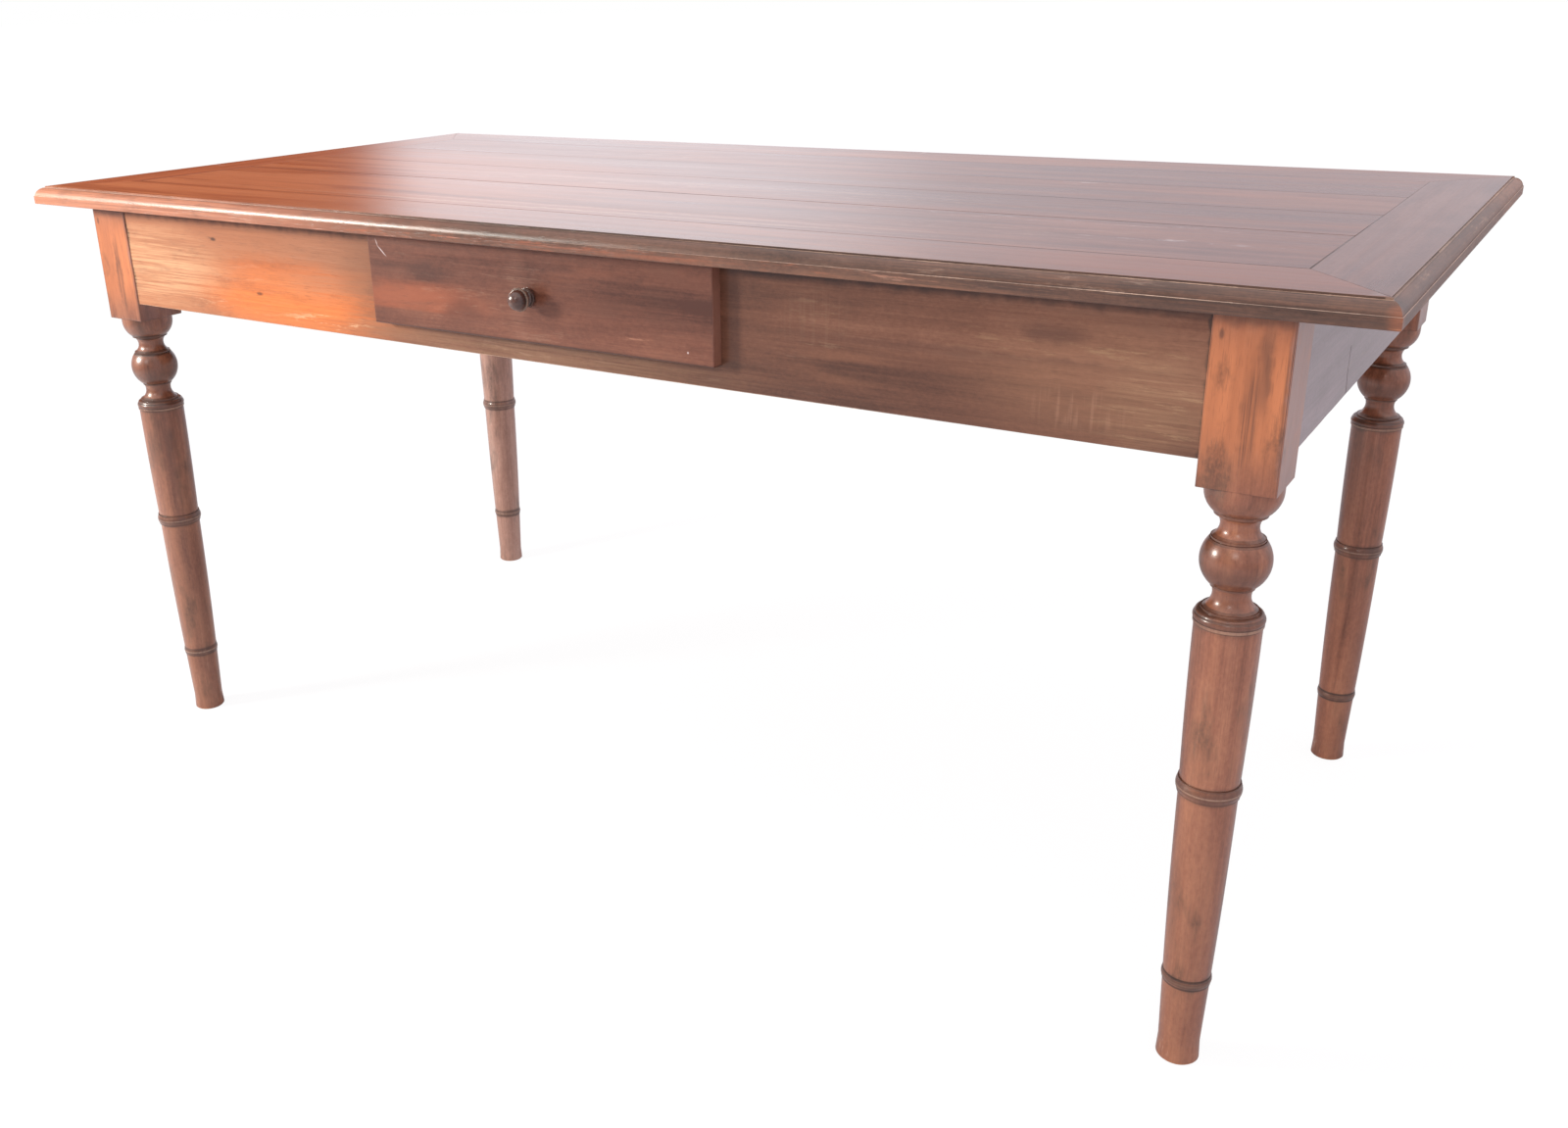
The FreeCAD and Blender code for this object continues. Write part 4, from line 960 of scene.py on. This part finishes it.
def bow(start, end, swell, steps=7):
    """Points on the arc from start to end whose middle stands out by swell."""
    start, end = Vector(start), Vector(end)
    chord = end - start
    along = chord.normalized()
    out = Vector((along.y, -along.x))
    radius = (chord.length ** 2 / 4 + swell ** 2) / (2 * abs(swell))
    side = math.copysign(1, swell)
    centre = (start + end) / 2 + out * (swell - side * radius)
    half = math.asin(min(1.0, chord.length / 2 / radius))
    angles = [half * (2 * step / steps - 1) for step in range(steps + 1)]
    return [centre + radius * (side * math.cos(angle) * out + math.sin(angle) * along)
            for angle in angles]


def drawn_line(pattern):
    """The pattern's points with every bow filled in."""
    line = []
    for point, following in zip(pattern, pattern[1:] + [None]):
        place = Vector(point[:2])
        swell = point[2] if len(point) > 2 else 0
        if swell and following:
            arc = bow(place, following[:2], swell)
            if (arc[1] - arc[0]).length > LONG_STEP:
                first, last = (arc[1] - arc[0]).normalized(), (arc[-2] - arc[-1]).normalized()
                arc[1:1] = [arc[0] + first * HOLD]
                arc[-1:-1] = [arc[-1] + last * HOLD]
            line += arc[:-1]
        else:
            line.append(place)
            run = following and Vector(following[:2]) - place
            if run and run.length > LONG_RUN:
                held = run.normalized() * HOLD
                line += [place + held, Vector(following[:2]) - held]
    return line


def ball_line(steps=22):
    """The ball, from the last point below it to the first one above it."""
    below, above = FOOT_AND_SHAFT[-1], NECK_AND_CUP[0]
    low = math.atan2(below[1] - BALL_LEVEL, below[0])
    high = math.atan2(above[1] - BALL_LEVEL, above[0])
    return [Vector((BALL_RADIUS * math.cos(low + (high - low) * step / steps),
                    BALL_LEVEL + BALL_RADIUS * math.sin(low + (high - low) * step / steps)))
            for step in range(1, steps)]


LEG_LINE = drawn_line(FOOT_AND_SHAFT) + ball_line() + drawn_line(NECK_AND_CUP)
print("the leg's line has", len(LEG_LINE), "points")

# %% [markdown]
# A line becomes turned wood when it is spun round its axis. Separate rings could be bridged,
# but a full spin that merges its last ring with its first has no seam.

# %% Lathe


def turn(line, steps=72):
    """Spins a line of (radius, height) points in mm round Z."""
    shape = bmesh.new()
    corners = [shape.verts.new((radius * MM, 0, height * MM)) for radius, height in line]
    edges = [shape.edges.new(pair) for pair in zip(corners, corners[1:])]
    bmesh.ops.spin(shape, geom=corners + edges, cent=(0, 0, 0), axis=UP, dvec=(0, 0, 0),
                   angle=2 * math.pi, steps=steps, use_merge=True, use_duplicate=False)
    bmesh.ops.remove_doubles(shape, verts=shape.verts, dist=0.001 * MM)
    bmesh.ops.recalc_face_normals(shape, faces=shape.faces)
    return shape


def paint(shape, mark, levels, reach, share=1.0):
    """Marks the rings of faces whose middles lie within reach of a level."""
    layer = layer_of(shape, mark)
    for face in shape.faces:
        height = face.calc_center_median().z / MM
        if min(abs(height - level) for level in levels) < reach:
            face[layer] = share


print("lathe ready")

# %% [markdown]
# The post has mortises for the aprons. Cutting them again would be double work, so the post
# is taken off the joiner's own leg: all below it is deleted and the hole is filled. Its long
# corners are eased and dented, with dirt in the dents.

# %% Square posts
AXIS_X, AXIS_Y, HALF_POST, POST_FOOT = 721.5, 345.5, 32.5, 588.0
NEAR_FACE = 1.2


def post_of(node, x, y):
    """The square top of the joiner's leg, closed below."""
    shape = copy_of(node)
    turned = [face for face in shape.faces
              if min(corner.co.z for corner in face.verts) < (POST_FOOT - 0.01) * MM]
    bmesh.ops.delete(shape, geom=turned, context="FACES")
    rim = [edge for edge in shape.edges if len(edge.link_faces) == 1]
    bmesh.ops.holes_fill(shape, edges=rim, sides=0)
    bmesh.ops.recalc_face_normals(shape, faces=shape.faces)

    def corner_or_foot(middle, start, end):
        off = abs(middle.x - x), abs(middle.y - y)
        low = max(start.z, end.z) < POST_FOOT + 0.1 and max(off) > HALF_POST - NEAR_FACE
        return low or (min(off) > HALF_POST - NEAR_FACE and (start - end).length > 100)
    ease(shape, 0.6, corner_or_foot, "dirt")
    cut_across(shape, UP, POST_FOOT, UNDERSIDE, 11)
    dent(shape, 0.9, x + y, "dirt")
    return shape


print("posts", 2 * HALF_POST, "mm square from", POST_FOOT, "up")

# %% [markdown]
# Stain has pooled in the waist and rings of the legs, the post is warmer, and the foot is
# worn. A grey spot on the post's right face paints the reflection of the pale room, and a dark
# band at the top of its face toward the front paints the shadow under the top. All four legs
# share these spots, measured from their own axis, and the two on the left have stains of
# their own: the back one's pale stain paints the haze of glare on it.

# %% Stains and spots of the legs
LEG_STAIN = (98, 56, 38), (146, 90, 66), (180, 120, 88)
# pale, greyed stain that paints the haze of glare on the back left leg
GLARE_PAINTED_LEG_STAIN = (148, 108, 92), (190, 148, 132), (212, 178, 162)
DARK_LEG_STAIN = (84, 50, 36), (128, 80, 60), (164, 110, 82)
LEG_SPOTS = (
    ((0, 0, 668), (200, 200, 85), (206, 126, 80), 0.85, "soft"),
    ((0, 0, 668), (200, 200, 85), (146, 84, 52), 0.5, "flame"),
    ((4, -32, 645), (9, 12, 70), (84, 54, 42), 0.75, "fibre"),
    ((12, -32, 690), (8, 12, 50), (92, 60, 46), 0.6, "flame"),
    ((-24, -32, 717), (3, 12, 6), (74, 48, 40), 0.6, "soft"),
    ((-22, -32, 628), (7, 12, 7), (120, 88, 70), 0.6, "fleck"),
    ((30, -32, 668), (3, 12, 90), (80, 50, 38), 0.7, "fibre"),
    # painted shadow: a dark band just under the top
    ((0, -32, 734), (60, 20, 12), (96, 62, 46), 0.6, "soft"),
    # painted reflection: the grey of the pale room on the post's right face
    ((34, 0, 668), (7, 70, 130), (146, 118, 114), 0.65, "soft"),
    ((0, 0, 519), (60, 60, 26), (96, 58, 44), 0.5, "flame"),
    ((0, 0, 508), (60, 60, 20), (74, 50, 42), 0.5, "soft"),
    ((0, 0, 572), (60, 60, 14), (90, 60, 48), 0.4, "flame"),
    ((0, 0, 466), (60, 60, 13), (66, 44, 38), 0.7, "soft"),
    ((0, 0, 484), (60, 60, 16), (96, 60, 46), 0.5, "flame"),
    ((0, 0, 140), (60, 60, 260), (104, 66, 54), 0.35, "fibre"),
    ((0, 0, 300), (60, 60, 13), (64, 42, 36), 0.8, "soft"),
    ((0, 0, 94), (60, 60, 10), (64, 42, 36), 0.75, "soft"),
    ((-12, -20, 14), (14, 20, 12), (206, 172, 150), 0.5, "fleck"),
    ((5, -12, 0), (20, 18, 3.4), (214, 140, 84), 0.75, "soft"))

print("spots on each leg:", len(LEG_SPOTS))

# %% [markdown]
# The turning goes into the post as a second closed shell of the same mesh, so that a leg
# stays one piece. A boolean union would spoil its clean rings. Dirt sits in the grooves, and
# the ridges are rubbed.

# %% Legs
GROOVES = (89, 98.5, 293, 307, 461, 463.8, 469.8, 473, 475.2, 495.5, 538.2, 540.4, 560.4, 562.7)
RIDGES = (0.8, 94, 300, 462)


def make_leg(node, side_x, side_y, seed, stain=LEG_STAIN):
    x, y = side_x * AXIS_X, side_y * AXIS_Y
    shape = turn(LEG_LINE)
    paint(shape, "dirt", GROOVES, 1.25, 0.75)
    paint(shape, "wear", RIDGES, 1.2, 0.3)
    bmesh.ops.translate(shape, verts=shape.verts, vec=(x * MM, y * MM, 0))
    turned = mesh_of(shape, "turned")
    shape = post_of(node, x, y)
    shape.from_mesh(turned)
    bpy.data.meshes.remove(turned)
    spots = [((x + right, y + back, up), *rest) for (right, back, up), *rest in LEG_SPOTS]
    wood = make_wood("wood_" + node, "Z", seed, stain, coat=0.6, figure=1.3, turned=True,
                     soil=0.65, spots=spots)
    finish_piece(shape, node + "_turned", node, wood)


make_leg("leg_front_left", -1, -1, 31, DARK_LEG_STAIN)
make_leg("leg_front_right", 1, -1, 32)
make_leg("leg_back_left", -1, 1, 33, GLARE_PAINTED_LEG_STAIN)
make_leg("leg_back_right", 1, 1, 34)

# %% [markdown]
# The knob is dark and turned: a foot flat on the drawer front, a hollow neck and a domed cap.
# A ball on a rod would lack the neck that fingers hold, so it comes off the same lathe as the
# legs, is laid down, and is varnished all over.

# %% Knob
KNOB_X, KNOB_Z, DRAWER_FACE = -5.0, 685.0, -390.8
KNOB_STAIN = (40, 24, 20), (78, 46, 36), (122, 76, 56)
KNOB_PATTERN = [
    (0, -0.5), (9.6, -0.5), (9.6, 0, 0.7), (9.6, 4.2), (7.4, 4.2, -2.0), (8.2, 12.2),
    (11.8, 14, 0.8), (11.8, 17), (11.0, 17)]
DOME_FOOT, DOME_RADIUS, DOME_STEPS = 17, 11, 10


def make_knob():
    angles = [step * math.pi / (2 * DOME_STEPS) for step in range(1, DOME_STEPS + 1)]
    dome = [Vector((DOME_RADIUS * math.cos(angle), DOME_FOOT + DOME_RADIUS * math.sin(angle)))
            for angle in angles]
    dome[-1].x = 0
    shape = turn(drawn_line(KNOB_PATTERN) + dome, 64)
    paint(shape, "dirt", (0, 4.3, 13.8, 17.2), 0.6, 0.8)
    # the rim is rubbed pale, which also paints the highlight that runs round it
    paint(shape, "wear", (15.5,), 1.6, 0.35)
    bmesh.ops.rotate(shape, verts=shape.verts, cent=(0, 0, 0),
                     matrix=Matrix.Rotation(math.pi / 2, 3, "X"))
    bmesh.ops.translate(shape, verts=shape.verts,
                        vec=Vector((KNOB_X, DRAWER_FACE, KNOB_Z)) * MM)
    wood = make_wood("wood_drawer_knob", "Y", 41, KNOB_STAIN, coat=1.0, polish=0.3, soil=0.3)
    finish_piece(shape, "drawer_knob_turned", "drawer_knob", wood)


make_knob()

# %% [markdown]
# The drawer front is redder than the apron and stands proud of it. Its outer arrises could
# be rubbed pale like the others, but they stay dark with polish that no cloth takes off, so
# they are marked as dirt. Dark flames and two thin, slanting scratches are spots. So are a
# pale band that paints light on its right side face and a dark line along its foot that
# paints the shadow there.

# %% Drawer front
DRAWER_STAIN = (78, 43, 32), (116, 70, 53), (144, 92, 70)
DARK_ARRIS = 1.5
DRAWER_SPOTS = (
    ((-185, -390, 706), (84, 30, 13), (48, 28, 24), 0.8, "flame"),
    ((-150, -390, 700), (40, 30, 16), (56, 34, 30), 0.5, "soft"),
    ((-170, -390, 668), (140, 30, 30), (164, 88, 56), 0.6, "flame"),
    ((-100, -390, 655), (40, 30, 30), (70, 42, 34), 0.5, "flame"),
    ((20, -390, 712), (150, 30, 16), (148, 88, 62), 0.55, "flame"),
    ((-120, -390, 726), (260, 30, 8), (80, 54, 46), 0.5, "flame"),
    ((-20, -390, 676), (20, 30, 90), (150, 104, 84), 0.35, "fibre"),
    # painted light on the right side face
    ((225.6, -384, 685), (1.6, 22, 90), (170, 120, 102), 0.6, "soft"),
    # painted shadow along the foot of the drawer front
    ((0, -390, 636), (460, 30, 3), (44, 28, 24), 0.7, "soft"),
    ((-214, -390, 718), (11, 8, 1.1), SHEEN_AND_SCRATCH_WHITE, 0.6, "soft", 42),
    ((-221, -390, 727), (6, 8, 1.0), SHEEN_AND_SCRATCH_WHITE, 0.5, "soft", 70),
    ((130, -390, 655), (36, 8, 3), (176, 124, 98), 0.6, "fleck"),
    ((195, -390, 648), (1.5, 8, 1.5), SHEEN_AND_SCRATCH_WHITE, 0.7, "soft"))


def outer_face(middle, start, end):
    return max(start.y, end.y) < DRAWER_FACE + 0.1 and (start - end).length > 50


def make_drawer_front():
    shape = copy_of("drawer_front")
    ease(shape, 0.9, outer_face, "dirt")
    layer = layer_of(shape, "dirt")
    for face in shape.faces:
        if max(abs(part) for part in face.normal) < 0.99 and face[layer] > 0:
            face[layer] = DARK_ARRIS
    wood = make_wood("wood_drawer_front", "X", 42, DRAWER_STAIN, coat=0.3, figure=0.8,
                     spots=DRAWER_SPOTS)
    finish_piece(shape, "drawer_front_eased", "drawer_front", wood)


make_drawer_front()

# %% [markdown]
# Screws and nails are blued iron with brown rust in patches. One even brown would do from
# afar. But iron is a metal, so its colour is in its mirror light, and rust is not, so one
# noise mixes the two in colour, metal and roughness together.

# %% Iron
IRON, RUST = srgb(98, 94, 92), srgb(104, 62, 40)
IRON_PIECES = ("cleat_screws", "guide_nails", "drawer_bottom_nails")


def make_iron():
    material, tree = new_tree("old_iron")
    shader = tree.nodes["Principled BSDF"]
    place = add_node(tree, "TexCoord").outputs["Object"]
    rust = move_range(tree, noise(tree, place, 420, detail=4, rough=0.65), 0.46, 0.60)
    bump = add_node(tree, "Bump", {
        "Height": rust, "Strength": 0.4, "Distance": 0.2 * MM})
    for socket, result in (
            ("Base Color", mix_colours(tree, rust, IRON, RUST)),
            ("Metallic", calculate(tree, "MULTIPLY_ADD", rust, -0.8, 0.9)),
            ("Roughness", calculate(tree, "MULTIPLY_ADD", rust, 0.35, 0.42)),
            ("Normal", bump.outputs[0])):
        tree.links.new(result, shader.inputs[socket])
    return material


def cover(name, material):
    """Puts a finish on one of the joiner's own pieces, whose shape is right as it is."""
    data = nodes[name].data
    for index in range(len(data.materials)):
        data.materials[index] = material


iron = make_iron()
for name in IRON_PIECES:
    cover(name, iron)
print("iron on", ", ".join(IRON_PIECES))

# %% [markdown]
# The drawer's box is softwood that nobody ever stained: yellowed, matt, and greyed by hands.
# The joiner's pieces could stay as they are, but sides and back are touched and show when
# the drawer is out, so their upper edges are eased. The bottom only gets a finish.

# %% Drawer box
DRAWER_WOOD = (150, 108, 68), (188, 144, 98), (210, 170, 122)
HAND_MARKS = ((0, -330, 700), (400, 90, 60), (120, 90, 66), 0.4, "fleck")
DUST = ((0, -200, 652), (300, 200, 20), GRIME, 0.35, "fleck")
BOX_GRAIN = {"drawer_side_left": "Y", "drawer_side_right": "Y", "drawer_back": "X"}


def upper_edge(middle, start, end):
    return min(start.z, end.z) > 690 and (start - end).length > 200


for number, (node, grain) in enumerate(BOX_GRAIN.items()):
    shape = copy_of(node)
    print("edges eased:", ease(shape, 0.8, upper_edge))
    wood = make_wood("wood_" + node, grain, 50 + number, DRAWER_WOOD, coat=0.0, polish=0.55,
                     soil=0.3, spots=(HAND_MARKS,))
    finish_piece(shape, node + "_eased", node, wood)
cover("drawer_bottom", make_wood("wood_drawer_bottom", "X", 54, DRAWER_WOOD, coat=0.0,
                                 polish=0.6, soil=0.35, spots=(DUST,)))

# %% [markdown]
# Cleats, runners, guides and tongues are plain softwood too. They sit where nobody looks, so
# they could share one finish, but a cut of the log for each costs nothing. Their shapes stay
# as the joiner cut them.

# %% Cleats, runners, guides and tongues
SOFTWOOD = (146, 104, 62), (186, 142, 92), (212, 172, 120)
GRAIN_OF = {"runner": "Y", "guide": "Y", "cleat": "X", "mitre": "X"}

for number, name in enumerate(sorted(nodes)):
    part = name.split("_")[0]
    if part in GRAIN_OF and name not in IRON_PIECES:
        grain = "Y" if name in ("cleat_left", "cleat_right") else GRAIN_OF[part]
        cover(name, make_wood("wood_" + name, grain, 60 + number, SOFTWOOD, coat=0.0,
                              polish=0.55, soil=0.35))
        print("plain softwood:", name)
